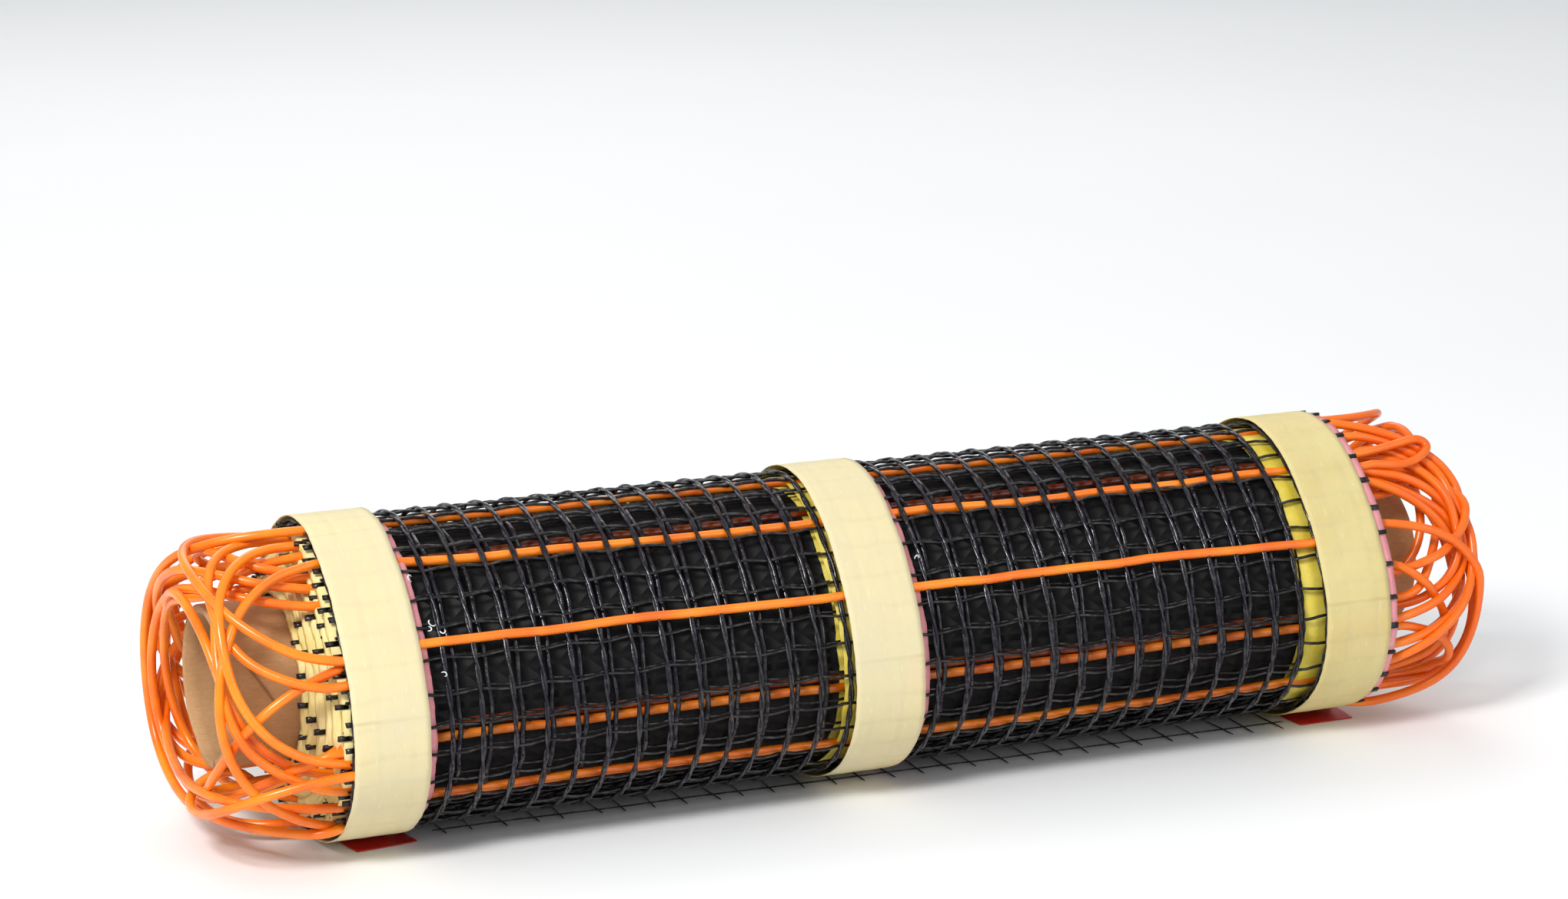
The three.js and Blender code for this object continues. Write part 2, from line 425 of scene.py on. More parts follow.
def run_table(size):
    """Where each straight run of the cable lies: its turn, radius and angle, from the outside inwards."""
    first = size.first_run / WINDING_RADIUS
    runs, angle = [], first
    while int(angle // math.tau) < TURNS:
        turn = int(angle // math.tau)
        radius = WINDING_RADIUS - size.cable_depth - size.cable_width / 2 - turn * TURN_THICKNESS
        runs.append((turn, radius, FLOOR_ANGLE - angle))
        angle += size.run_spacing / radius
    return runs


def mesh_end(side, turn):
    """Where the mesh ends at the left (-1) or right (1), on a turn counted from the outside."""
    return MESH_LEFT - turn * TURN_CREEP if side < 0 else MESH_RIGHT


# Loops on the side that faces the camera. A search program placed these points, from routes traced
# on the photograph. For each point: its place along the roll in millimetres, its radius in
# millimetres and its angle round the roll in degrees
LEFT_LOOPS = (
    (
        (-204.2, 57.9, 20), (-214.3, 57.7, 22), (-222.9, 56.9, 25), (-232.3, 54.4, 33), (-238.2, 52.1, 41),
        (-242.7, 50.1, 51), (-245.9, 48.6, 67), (-246.4, 48.5, 80), (-245, 49.7, 92), (-241.2, 51.9, 103),
        (-234.8, 53.6, 109), (-224.1, 53.9, 112), (-213.6, 52.7, 112)
    ),
    (
        (-202.7, 57.9, 80), (-217.1, 56.6, 83), (-229.1, 54.5, 88), (-240.4, 50.6, 100), (-245.6, 48, 114),
        (-247.8, 46.7, 131), (-248.3, 46.4, 149), (-248.1, 46.5, 167), (-247.4, 46.8, 185),
        (-246.6, 47.5, 207), (-246.1, 47.8, 223), (-245.7, 47.1, 239), (-245.1, 45.9, 255),
        (-243.6, 45.5, 270), (-240.2, 46.9, 283), (-232.3, 51.1, 296), (-223.2, 55.2, 304),
        (-211.5, 59.6, 310)
    ),
    (
        (-204.2, 56.2, 60), (-213.2, 55.9, 58), (-221.2, 55.4, 56), (-230.1, 54.2, 50), (-235.9, 52.8, 44),
        (-240.5, 50.9, 36), (-243.9, 48.8, 27), (-246, 47, 17), (-247, 45.7, 4), (-246.3, 46.2, -7),
        (-244.2, 48.1, -17), (-240.4, 50.7, -25), (-235.1, 53.4, -32), (-228.7, 55.2, -37),
        (-219.8, 56.1, -44), (-212.4, 56.2, -48), (-204.2, 56.2, -53)
    ),
    (
        (-206.3, 54.4, 18), (-219.2, 53.3, 13), (-229.9, 51.5, 7), (-240.2, 47.5, -5), (-245.2, 43.3, -19),
        (-247.1, 39.6, -36), (-246.3, 37.6, -53), (-241, 37.3, -72), (-233.2, 37.1, -80),
        (-223.4, 35.9, -80), (-214.2, 34.9, -75), (-208.1, 35.8, -65), (-205.2, 40.3, -48),
        (-205.1, 45.2, -33), (-205.6, 51, -15)
    ),
    (
        (-212.9, 57.9, 12), (-220.2, 55.4, 14), (-226.5, 53.1, 17), (-233.3, 50.3, 22), (-237.7, 48.5, 28),
        (-240.9, 47.4, 36), (-242.8, 47, 44), (-243.1, 47.3, 56), (-241.7, 48.2, 65), (-238.7, 49.3, 74),
        (-234.2, 50.6, 81), (-228.3, 51.5, 86), (-219.6, 52, 89), (-212.3, 51.8, 90), (-204.2, 51, 90)
    ),
    (
        (-204.2, 54.4, -18), (-213.6, 54.2, -16), (-221.7, 53.7, -13), (-230.6, 52.2, -7),
        (-236.1, 50.5, 0), (-239.9, 49.2, 8), (-242.3, 49, 17), (-243.3, 49.9, 30), (-242.7, 50.6, 40),
        (-240.8, 51.4, 50), (-237.3, 52.6, 58), (-232.2, 53.7, 66), (-223.5, 54.1, 73), (-215.6, 53.6, 76),
        (-206.3, 52.7, 78)
    ),
    (
        (-205.6, 49.3, 53), (-216, 49.9, 55), (-225.1, 50, 58), (-235.4, 48.8, 67), (-241.8, 46.9, 76),
        (-245.9, 44.5, 89), (-247.8, 42.6, 103), (-248.2, 41.7, 121), (-247.5, 41.9, 136),
        (-246, 42.5, 149), (-243.5, 43.4, 162), (-240.5, 44.7, 175), (-237.2, 46.6, 190), (-235.4, 48, 202),
        (-234.1, 49.6, 215)
    ),
    (
        (-210.7, 49.3, 45), (-224.6, 48.1, 50), (-235.3, 45.1, 59), (-243.8, 39.1, 78), (-246.7, 35.1, 100),
        (-247.4, 34.2, 124), (-247.3, 36.3, 148), (-246.9, 39.6, 170), (-246.2, 42.4, 191),
        (-244.7, 43.7, 215), (-243.5, 43, 234), (-243, 40.9, 252), (-242.9, 38.9, 271), (-242.4, 38.8, 289),
        (-240.5, 41, 307), (-234.3, 45.5, 325), (-225.6, 49.1, 336), (-213.6, 52.7, 345)
    ),
    (
        (-210, 49.3, 60), (-223.8, 46.8, 61), (-234.7, 42.4, 63), (-243.7, 34.2, 75), (-246.5, 28.5, 95),
        (-246.6, 26.4, 123), (-245.4, 28.7, 152), (-243.6, 33.8, 176), (-241.4, 39.3, 195),
        (-237.9, 43.9, 216), (-234.2, 44.9, 232), (-230.5, 43.5, 247), (-227.7, 40.6, 263),
        (-225.9, 37.9, 281), (-224.1, 37.5, 299), (-220, 40.7, 321), (-214.2, 45.3, 335), (-205.6, 51, 348)
    ),
    (
        (-211.5, 47.6, -28), (-221.1, 46.8, -24), (-229.1, 45.5, -18), (-236.9, 43.3, -8), (-241, 41.5, 3),
        (-243.3, 40.1, 15), (-244.8, 38.9, 29), (-245.9, 37.8, 44), (-247.4, 36.8, 64), (-248.2, 36.3, 80),
        (-248.5, 35.5, 96), (-248.4, 33.5, 110), (-247.6, 31.1, 123), (-245.4, 30.2, 139),
        (-242.6, 32.3, 153), (-239.2, 36.5, 170)
    ),
    (
        (-204.9, 57.9, -20), (-214.3, 57.1, -21), (-222.8, 56.1, -23), (-232.8, 54.3, -27),
        (-239.5, 52.3, -32), (-244.1, 49.9, -39), (-246.8, 47.4, -47), (-248.2, 44.8, -59),
        (-248.5, 43.3, -69), (-248.4, 41.5, -77), (-247.3, 38.5, -83), (-243.2, 33.9, -85),
        (-237.3, 31.3, -84), (-229, 30, -82)
    ),
    (
        (-207.1, 54.4, -40), (-218.6, 53.3, -40), (-228.7, 51.4, -40), (-239.4, 47.1, -42),
        (-244.9, 42.1, -46), (-247.6, 36.7, -56), (-248.5, 32.4, -71), (-248.5, 30.3, -94),
        (-247.9, 31.9, -112), (-246.7, 35.9, -128), (-244.6, 41.2, -142), (-241.8, 46.2, -153),
        (-237.4, 50.5, -167), (-232.6, 52.5, -178), (-226.1, 54.1, -188)
    ),
    (
        (-206.3, 51, 72), (-215.8, 49.9, 73), (-224, 48.7, 73), (-232.7, 47.4, 69), (-238, 46.7, 61),
        (-241.6, 45.8, 51), (-243.7, 44.8, 40), (-245, 44.3, 26), (-245, 44.8, 14), (-243.7, 45.9, 3),
        (-240.7, 47.3, -7), (-235.6, 49, -15), (-227, 51, -22), (-219.1, 52.6, -27), (-210, 54.4, -30)
    ),
)
RIGHT_LOOPS = (
    (
        (205.6, 57.9, 80), (213.3, 57.8, 75), (220.2, 57.4, 71), (228.8, 56.2, 65), (235.5, 54.1, 61),
        (241.4, 51.3, 57), (245.5, 48.8, 52), (247.7, 47.2, 44), (248.5, 46.6, 35), (248.6, 46.6, 23),
        (248.1, 46.9, 13), (246.7, 47.8, 3), (243.6, 49.5, -4), (238.6, 51.6, -10), (232.3, 53.6, -15),
        (223.2, 55.3, -19), (215.6, 55.9, -21), (207.1, 56.2, -22)
    ),
    (
        (207.8, 54.4, 60), (214.4, 55.2, 60), (222, 55.7, 61), (228.2, 55.6, 62), (233.8, 55.1, 63),
        (237.7, 54.1, 62), (238.5, 53.3, 59), (235.8, 53.6, 56), (231, 54.3, 53), (225.3, 54.7, 51),
        (217.9, 54.7, 51), (211.5, 54.4, 53)
    ),
    (
        (210, 52.7, 53), (217.9, 53.4, 50), (225, 53.2, 47), (233.5, 51.7, 42), (239.5, 49.7, 37),
        (244, 47.7, 31), (246.3, 46.6, 23), (245.7, 46.6, 13), (242.4, 47.5, 6), (237.3, 48.9, 0),
        (231, 50.7, -4), (222.4, 52.9, -8), (215.5, 54, -10), (207.8, 54.4, -12)
    ),
    (
        (210, 51, 48), (217.9, 50.9, 43), (224.5, 50.9, 38), (231.8, 50.7, 30), (236.9, 49.7, 22),
        (241.2, 47.6, 14), (245, 43.8, 2), (246.4, 40.9, -9), (246.4, 38.7, -21), (245.3, 37.3, -34),
        (243.2, 36.8, -47), (239.7, 37, -62), (236.3, 37.4, -75)
    ),
    (
        (207.1, 51, 28), (213.6, 54.5, 26), (219.8, 56.6, 24), (228, 56.5, 21), (234.5, 54.4, 17),
        (240.2, 51.7, 12), (244.4, 49.5, 5), (246.4, 48.6, -3), (246.2, 49.5, -14), (244.5, 51.2, -23),
        (242, 53.3, -31), (238.8, 55.2, -39), (234.3, 56.8, -45), (228.8, 58.1, -50), (220.8, 59.1, -54),
        (214, 59.5, -57), (206.3, 59.6, -60)
    ),
    (
        (210.7, 49.3, 7), (216.4, 52.3, 8), (221.6, 54.3, 10), (228.3, 54.8, 12), (233.5, 53.6, 14),
        (238.4, 51.7, 18), (242.5, 50, 22), (246.1, 48.1, 29), (247.3, 46.8, 36), (246.8, 45.7, 42),
        (244.3, 45.3, 47), (240.2, 46.1, 51), (233.9, 48.1, 55), (228.8, 49.6, 59), (223.1, 50.9, 63)
    ),
    (
        (210, 51, 10), (214.8, 52.6, 7), (220, 53.2, 3), (224, 52.4, -1), (227.8, 51.3, -6),
        (230.8, 50.5, -11), (232.9, 50.4, -19), (232.7, 50.7, -26), (231, 50.6, -32), (228.3, 50.2, -38),
        (223.6, 49.6, -43), (218.8, 49.2, -48)
    ),
    (
        (207.8, 56.2, -30), (215.9, 56.8, -25), (223.2, 56.8, -20), (232.1, 55.2, -14), (238.5, 52.9, -9),
        (243.4, 50.3, -3), (246.6, 48.2, 5), (248.1, 47, 18), (247.8, 46.9, 28), (246.3, 47.3, 38),
        (243.1, 48.3, 48), (238.2, 50, 56), (230, 52.5, 63), (222.4, 54.4, 67), (213.6, 56.2, 70)
    ),
    (
        (207.8, 54.4, -15), (213.1, 53.5, -16), (219.1, 52.5, -19), (223.8, 52, -21), (228, 52.3, -23),
        (231.9, 53.7, -27), (233.8, 54.6, -30), (234.7, 54.6, -35), (234.9, 53.2, -40), (234.8, 51, -45)
    ),
    (
        (216.6, 45.8, 63), (223.5, 47.4, 59), (231.1, 47.7, 55), (236.4, 46.6, 51), (239.5, 45.3, 46),
        (239.5, 44.8, 37), (237.1, 45.4, 30), (233.9, 46.7, 22), (230.4, 48, 15), (225.9, 49.6, 7),
        (221.7, 50.9, 0)
    ),
    (
        (233.4, 48.1, -75), (238, 47.2, -68), (241.9, 45.7, -60), (245.4, 42.7, -49), (246.7, 40.1, -38),
        (246.6, 38.3, -26), (245.3, 37.7, -14), (243, 38.7, 1), (240.9, 40.5, 12), (238.8, 42.4, 23),
        (236.5, 43.5, 33), (232.5, 43.4, 44), (227.9, 42.8, 51), (221.7, 42.3, 58)
    ),
    (
        (219.5, 54.4, -55), (228, 54.3, -55), (234.8, 53.6, -53), (240.9, 51.9, -47), (243.7, 50.6, -38),
        (245.3, 49.5, -28), (246.3, 48.6, -18), (246.9, 47.3, -5), (246.9, 45.8, 4), (245.6, 44.7, 14),
        (242.4, 45, 22), (237.3, 46.8, 30), (229.2, 49.2, 37), (222.2, 49.9, 42), (214.4, 49.3, 48)
    ),
)
# How much painted shade each straight run gets, by its number, for how deep in the mesh it looks: 0 is at the outside,
# 1 is in the dark below
RUN_PAINTED_SHADE = {0: 0.35, 1: 0.4, 2: 0.25, 4: 0.3, 5: 0.7, 6: 0.8, 7: 0.8, 9: 0.45, 10: 0.6, 11: 0.9}
RUN_PAINTED_SHADE |= {12: 0.95, 13: 0.95, 14: 0.9, 15: 0.85}
# How far below the strands some runs lie; run 3 is the one that lies on top of them
RUN_SUNK = {3: 0.0, 8: -1.6 * MM, 0: 3.1 * MM, 4: 3.1 * MM}
# The loops that are left to the rule, by the number of the run that each starts from
HIDDEN_LOOPS = (0, 6, 10, 12, 16, 20, 24, 1, 5, 11, 13, 17, 21, 25, 29)


def plain_loop(runs, index, size, steps=40):
    """Points of the loop that leads from one run to the next, past the end of the mesh."""
    side = -1 if index % 2 == 0 else 1
    (turn_a, radius_a, angle_a), (turn_b, radius_b, angle_b) = runs[index], runs[index + 1]
    chooser = random.Random(index * 7 + 3)
    share, bulge, lean = chooser.uniform(0.7, 0.98), chooser.uniform(0.2, 0.8), chooser.uniform(-0.15, 0.15)
    start = mesh_end(side, turn_a) - side * 14 * MM
    end = mesh_end(side, turn_b) - side * 14 * MM
    farthest = mesh_end(side, 0) + side * (size.loop_reach - size.cable_width / 2) * share
    # a loop between two runs that lie close together opens out to a teardrop
    span = angle_b - angle_a
    opening = math.copysign(max(0.0, 14 * MM - abs(span) * radius_a / 2) / radius_a, span)
    points = [wound_point(start, radius_a, angle_a)]
    for i in range(steps + 1):
        part = i / steps
        out = math.sin(math.pi * part) ** 0.72
        sweep = (1 - math.cos(math.pi * part)) / 2
        edge = mesh_end(side, 0)
        x = edge + (farthest - edge) * out
        radius = radius_a + (radius_b - radius_a) * sweep
        radius += (52 * MM - radius) * bulge * out * out
        angle = angle_a + span * sweep + lean * out * out - opening * math.sin(2 * math.pi * part)
        points.append(wound_point(x, radius, angle))
    points.append(wound_point(end, radius_b, angle_b))
    return points


def shown_loop(row, side):
    """Points of one loop of the tables, with both ends led into the winding."""
    points = []
    for x, radius, angle in row:
        points.append(wound_point(x * MM, radius * MM, math.radians(angle)))
    first = led_in(row[0], row[1], side)
    last = led_in(row[-1], row[-2], side)
    return rounded(first[::-1] + points + last)


def led_in(end, beside, side, step=5.0):
    """Points that take a loop's end back into the winding in a bend no tighter than the cable allows."""
    x, radius, angle = end
    heading = math.atan2(math.radians(angle - beside[2]) * radius, side * (x - beside[0]))
    turn = 1 if heading > 0 else -1
    points = []
    while side * x > 190:
        heading += turn * min(math.radians(22), max(0.0, math.pi - abs(heading)))
        x += side * step * math.cos(heading)
        angle += math.degrees(step * math.sin(heading) / radius)
        radius += 0.4 * (min(max(radius, 46.0), 56.0) - radius)
        points.append(wound_point(x * MM, radius * MM, math.radians(angle)))
    return points


def rounded(points):
    """A smooth path with three points for each one given."""
    out = []
    last = len(points) - 1
    for i in range(last):
        a, b, c, d = points[max(i - 1, 0)], points[i], points[i + 1], points[min(i + 2, last)]
        for part in (0, 1 / 3, 2 / 3):
            out.append(
                0.5 * (
                    2 * b + (c - a) * part + (2 * a - 5 * b + 4 * c - d) * part**2 + (3 * b - a - 3 * c + d) * part**3
                )
            )
    out.append(points[-1])
    for _ in range(5):
        out = [out[0]] + [(a + 2 * b + c) / 4 for a, b, c in zip(out, out[1:], out[2:])] + [out[-1]]
    return out


def spread_apart(loops, width, passes=45):
    """Loops that would run through each other, pushed aside until they only touch."""
    loops = [np.array([tuple(point) for point in loop]) for loop in loops]
    owner = np.concatenate([np.full(len(loop), number) for number, loop in enumerate(loops)])
    start = np.concatenate(loops)
    moved = np.zeros_like(start)
    loose = np.clip((np.abs(start[:, 0]) - 206 * MM) / (6 * MM), 0.0, 1.0)[:, None]
    joined = (owner[1:] == owner[:-1])[:, None]
    for side in (-1, 1):
        here = np.flatnonzero(side * start[:, 0] > 206 * MM)
        other = owner[here][:, None] != owner[here][None]
        for _ in range(passes):
            points = start + moved
            apart = points[here][:, None] - points[here][None]
            far = np.linalg.norm(apart, axis=2) + 1e-9
            push = np.where(other & (far < width), (width - far) / far, 0.0)
            count = np.maximum(1, (push > 0).sum(axis=1))
            moved[here] += 0.5 * (apart * push[:, :, None]).sum(axis=1) / count[:, None]
            step = (moved[1:] - moved[:-1]) * joined * 0.25
            moved[:-1] += step
            moved[1:] -= step
            moved *= loose
            points = start + moved
            out = points[:, 1:] - (0.0, AXIS.z)
            reach = np.linalg.norm(out, axis=1, keepdims=True)
            points[:, 1:] += out / reach * np.maximum(0.0, CORE_RADIUS + 2 * MM - reach)
            low, high = (np.array(corner) for corner in SOLIDS_BOX)
            points = np.clip(points, low + width * 0.55, high - width * 0.55)
            moved = (points - start) * loose
    points = start + moved
    return [points[owner == number] for number in range(len(loops))]


def cable_paths(size):
    """The cable's runs across the mesh and its loops past both ends."""
    runs = run_table(size)
    paths = []
    for index, (turn, radius, angle) in enumerate(runs):
        if turn > 2:
            break
        sunk = RUN_SUNK.get(index, 2.3 * MM - max(0, turn - 1) * TURN_THICKNESS * 0.8)
        start, end = mesh_end(-1, 0) + 8 * MM, mesh_end(1, 0) - 9 * MM
        points = []
        for i in range(31):
            part = i / 30
            x = start + (end - start) * part
            wander = smooth_noise(x * 22, index * 3.1) * 1.5 * MM + smooth_noise(x * 60, index * 5.7) * 0.4 * MM
            # run 8 strays towards its neighbour near the left tape
            if index == 8:
                wander += 3.6 * MM * max(0.0, 0.25 - part) / 0.25
            points.append(wound_point(x, radius - sunk, angle + wander / radius))
        paths.append(points)
    loops = [plain_loop(runs, index, size) for index in HIDDEN_LOOPS]
    loops += [shown_loop(row, -1) for row in LEFT_LOOPS] + [shown_loop(row, 1) for row in RIGHT_LOOPS]
    return paths + spread_apart(loops, size.cable_width)


# Finishes


def paper_finish(name, colour, shade, patch):
    """Paper tape: fibres, faint marks of the strands under it, a pink bloom and creases."""
    finish = Finish(name)
    laid = finish.laid()
    x, along, _ = finish.parts(laid)
    place = finish.place()
    cloud = finish.noise(place, 38.0, 4.0, 0.55)
    fibre = finish.noise(finish.scaled(laid, (900.0, 190.0, 1.0)), 1.0, 3.0, 0.6)
    cells = (x * (math.tau / CELL_PITCH)).maths("COSINE")
    rungs = (along * (math.tau / (11.4 * MM)) + cloud * 5).maths("COSINE")
    marks = finish.ramp(cells, 0.55, 1.0) * 0.5 + finish.ramp(rungs, 0.72, 1.0) * 0.6
    marks = marks * finish.ramp(cloud, 0.35, 0.7)
    base = finish.mix(finish.ramp(cloud, 0.3, 0.75), colour, shade)
    base = finish.mix(marks * 0.32, base, linear(0xA9A88A))
    bloom = finish.ramp(finish.noise(place, 16.0, 2.0), 0.56, 0.75) * 0.35
    base = finish.mix(bloom, base, patch)
    base = finish.mix(finish.ramp(fibre, 0.6, 0.85) * 0.35, base, linear(0xFFFBEA))
    height = fibre * 0.25 + cloud * 0.5 + marks * 0.35
    return finish.wear(
        Base_Color=base, Roughness=0.62 + cloud * 0.22, Normal=finish.bump(height, 0.55, 0.5 * MM)
    )


def strand_finish(name, dark, dusty, roughness):
    """Coated glass strands: near black and glossy, with dusty lengths."""
    finish = Finish(name, Specular_IOR_Level=0.36, Coat_Roughness=0.08)
    place = finish.place()
    cloud = finish.noise(place, 30.0, 3.0)
    grain = finish.noise(place, 2200.0, 2.0)
    dust = finish.ramp(cloud, 0.5, 0.72) * 0.5 + finish.ramp(grain, 0.6, 0.8) * 0.2
    base = finish.mix(dust, dark, dusty)
    lumps = finish.noise(place, 420.0, 2.0)
    return finish.wear(
        Base_Color=base,
        Roughness=roughness + cloud * 0.14 + grain * 0.08,
        Normal=finish.bump(lumps + grain * 0.25, 0.6, 0.5 * MM),
        Coat_Weight=finish.ramp(lumps, 0.45, 0.6) * 0.8,
    )


def cable_finish(colour):
    """Orange sheath: smooth, a little cloudy, scuffed in places, with painted shade on the loops past the right end
    and on runs deep in the mesh.
    """
    finish = Finish(
        "orange_sheath", Specular_IOR_Level=0.5, Subsurface_Weight=0.04,
        Subsurface_Radius=(0.002, 0.0006, 0.0002)
    )
    place = finish.place()
    cloud = finish.noise(place, 55.0, 3.0)
    scuff = finish.ramp(finish.noise(place, 700.0, 4.0, 0.65), 0.62, 0.78)
    base = finish.mix(finish.ramp(cloud, 0.35, 0.7), colour, linear(0xEE6A0C))
    base = finish.mix(scuff * 0.25, base, linear(0xFFB560))
    # painted shade: the cable past the right end of the mesh, where x is above 0.2 m, is painted a darker red-orange
    x, _, _ = finish.parts(place)
    base = finish.mix(finish.ramp(x, 0.2, 0.215) * 0.6, base, linear(0xEA5C0E))
    # painted shade: runs that lie deep in the mesh are painted dark red by their depth value, in place of the shadow
    # of the strands over them
    depth = finish.node("ShaderNodeAttribute", {"attribute_name": "depth"}, None, 2)
    base = finish.mix(finish.ramp(depth + cloud * 0.3 - 0.15, 0.0, 1.0), base, linear(0x5A1503))
    return finish.wear(
        Base_Color=base,
        Roughness=0.18 + cloud * 0.14 + scuff * 0.15,
        Normal=finish.bump(cloud * 0.6 + scuff * 0.2, 0.25, 0.3 * MM),
    )


def kraft_finish():
    """Spiral wound kraft board: fibres, seams, and plies that show at the rims."""
    finish = Finish("kraft_board")
    laid = finish.laid()
    x, along, _ = finish.parts(laid)
    place = finish.place()
    cloud = finish.noise(place, 26.0, 4.0, 0.6)
    fibre = finish.noise(finish.scaled(laid, (260.0, 900.0, 1.0)), 1.0, 4.0, 0.65)
    spiral = ((x + along * 0.62) / (74 * MM)).maths("FRACT")
    seam = finish.ramp(spiral, 0.985, 0.995) + (1 - finish.ramp(spiral, 0.0, 0.012))
    base = finish.mix(finish.ramp(cloud, 0.3, 0.72), linear(0xC0976A), linear(0xA0764A))
    base = finish.mix(finish.ramp(fibre, 0.56, 0.8) * 0.5, base, linear(0xD2B28C))
    base = finish.mix(finish.ramp(fibre, 0.44, 0.26) * 0.4, base, linear(0x8F6238))
    speck = finish.ramp(finish.noise(place, 1400.0, 2.0), 0.62, 0.72)
    base = finish.mix(speck * 0.4, base, linear(0x7A5634))
    base = finish.mix(seam * 0.7, base, linear(0x6E4726))
    height = fibre * 0.5 - seam * 0.8 + cloud * 0.3
    return finish.wear(
        Base_Color=base, Roughness=0.78 + cloud * 0.15, Normal=finish.bump(height, 0.5, 0.4 * MM)
    )


def film_finish(name, colour, shade, roughness):
    """Thin coloured film or adhesive strip."""
    finish = Finish(name)
    place = finish.place()
    cloud = finish.noise(place, 80.0, 3.0)
    fine = finish.noise(place, 900.0, 2.0)
    base = finish.mix(finish.ramp(cloud, 0.35, 0.7), colour, shade)
    base = finish.mix(finish.ramp(fine, 0.6, 0.8) * 0.25, base, linear(0xFFF3E6))
    height = cloud + fine * 0.3
    return finish.wear(
        Base_Color=base, Roughness=roughness + fine * 0.15, Normal=finish.bump(height, 0.4, 0.3 * MM)
    )


def inner_finish():
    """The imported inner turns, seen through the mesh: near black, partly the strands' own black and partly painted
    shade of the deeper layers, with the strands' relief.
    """
    finish = Finish("inner_turns", Specular_IOR_Level=0.25)
    laid = finish.laid()
    x, along, _ = finish.parts(laid)
    place = finish.place()
    cells = (x * (math.tau / CELL_PITCH)).maths("COSINE")
    rungs = (along * (math.tau / (9.5 * MM))).maths("COSINE")
    grid = cells.maths("MAXIMUM", rungs)
    cloud = finish.noise(place, 60.0, 3.0)
    # partly painted shade: the holes between the strand lines are near black for the dark deep layers, and the strand
    # lines are a little lighter for the strands' own black
    base = finish.mix(finish.ramp(grid, 0.5, 0.95) * 0.6, linear(0x030303), linear(0x0E0C0D))
    return finish.wear(Base_Color=base, Roughness=0.45 + cloud * 0.3, Normal=finish.bump(grid, 0.8, 1.2 * MM))


def tab_finish():
    """Red plastic tab: glossy with fine scratches."""
    finish = Finish("red_plastic", Specular_IOR_Level=0.5)
    place = finish.place()
    cloud = finish.noise(place, 120.0, 3.0)
    scratch = finish.noise(finish.scaled(place, (300.0, 2200.0, 1.0)), 1.0, 2.0)
    base = finish.mix(finish.ramp(cloud, 0.35, 0.7), linear(0xD01C0C), linear(0xA81408))
    height = cloud + scratch * 0.3
    return finish.wear(
        Base_Color=base, Roughness=0.26 + scratch * 0.25, Normal=finish.bump(height, 0.3, 0.2 * MM)
    )


def glue_finish():
    """Dried white glue."""
    finish = Finish("white_glue", Specular_IOR_Level=0.6)
    cloud = finish.noise(finish.place(), 600.0, 2.0)
    base = finish.mix(cloud, linear(0xF2F4F4), linear(0xCFD6D8))
    return finish.wear(Base_Color=base, Roughness=0.25 + cloud * 0.2, Normal=finish.bump(cloud, 0.4, 0.2 * MM))


# Pieces


def closed_rings(name, rings, laid_rings):
    """A closed skin round the axis from rings of points, the last ring joined to the first."""
    count, points, faces, laid = len(rings[0]), [], [], []
    for ring, laid_ring in zip(rings, laid_rings):
        points.extend(ring)
        laid.extend(laid_ring)
    for a in range(len(rings)):
        b = (a + 1) % len(rings)
        for i in range(count):
            j = (i + 1) % count
            faces.append((a * count + i, b * count + i, b * count + j, a * count + j))
    return mesh_of(name, points, faces, laid)


def core_mesh(size):
    """The board tube, with soft rims and a dent in its left rim."""
    outer, wall = CORE_RADIUS, size.core_wall
    left, right = CORE_LOW.x, CORE_HIGH.x
    along = [left + (right - left) * t for t in np.linspace(0.01, 0.99, 60)]
    rim = [
        (0.25 * MM, 0.3 * MM), (0.0, 0.9 * MM), (0.12 * MM, 1.5 * MM), (0.0, wall - 0.8 * MM),
        (0.4 * MM, wall)
    ]
    profile = [(left + 0.9 * MM, outer), *[(x, outer) for x in along], (right - 0.9 * MM, outer)]
    profile += [(right - inset, outer - deep) for inset, deep in rim]
    profile += [(x, outer - wall) for x in reversed(along)]
    profile += [(left + inset, outer - deep) for inset, deep in reversed(rim)]
    rings, laid = [], []
    for x, radius in profile:
        ring, laid_ring = [], []
        near_left = max(0.0, 1 - (x - left) / (16 * MM))
        for i in range(128):
            angle = math.tau * i / 128
            dent = 1.6 * MM * near_left**2 * math.exp(-(((angle - 4.1) / 0.3) ** 2))
            rough = smooth_noise(angle * 4, x * 30) * 0.12 * MM
            r = radius - dent - abs(rough)
            frayed = x + abs(smooth_noise(angle * 3, 7)) * 0.3 * MM * near_left**3
            ring.append(Vector((frayed, -r * math.cos(angle), AXIS.z + r * math.sin(angle))))
            laid_ring.append((x, angle * outer))
        rings.append(ring)
        laid.append(laid_ring)
    return closed_rings("core_board", rings, laid)


def ragged_edge(angle, seed, near, fine):
    """How far a torn or cut edge strays, between about -1 and 1."""
    y, z = math.cos(angle), math.sin(angle)
    return smooth_noise(y * 5 + seed, z * 5, near) + smooth_noise(y * 22 + seed, z * 22, fine) * 0.5


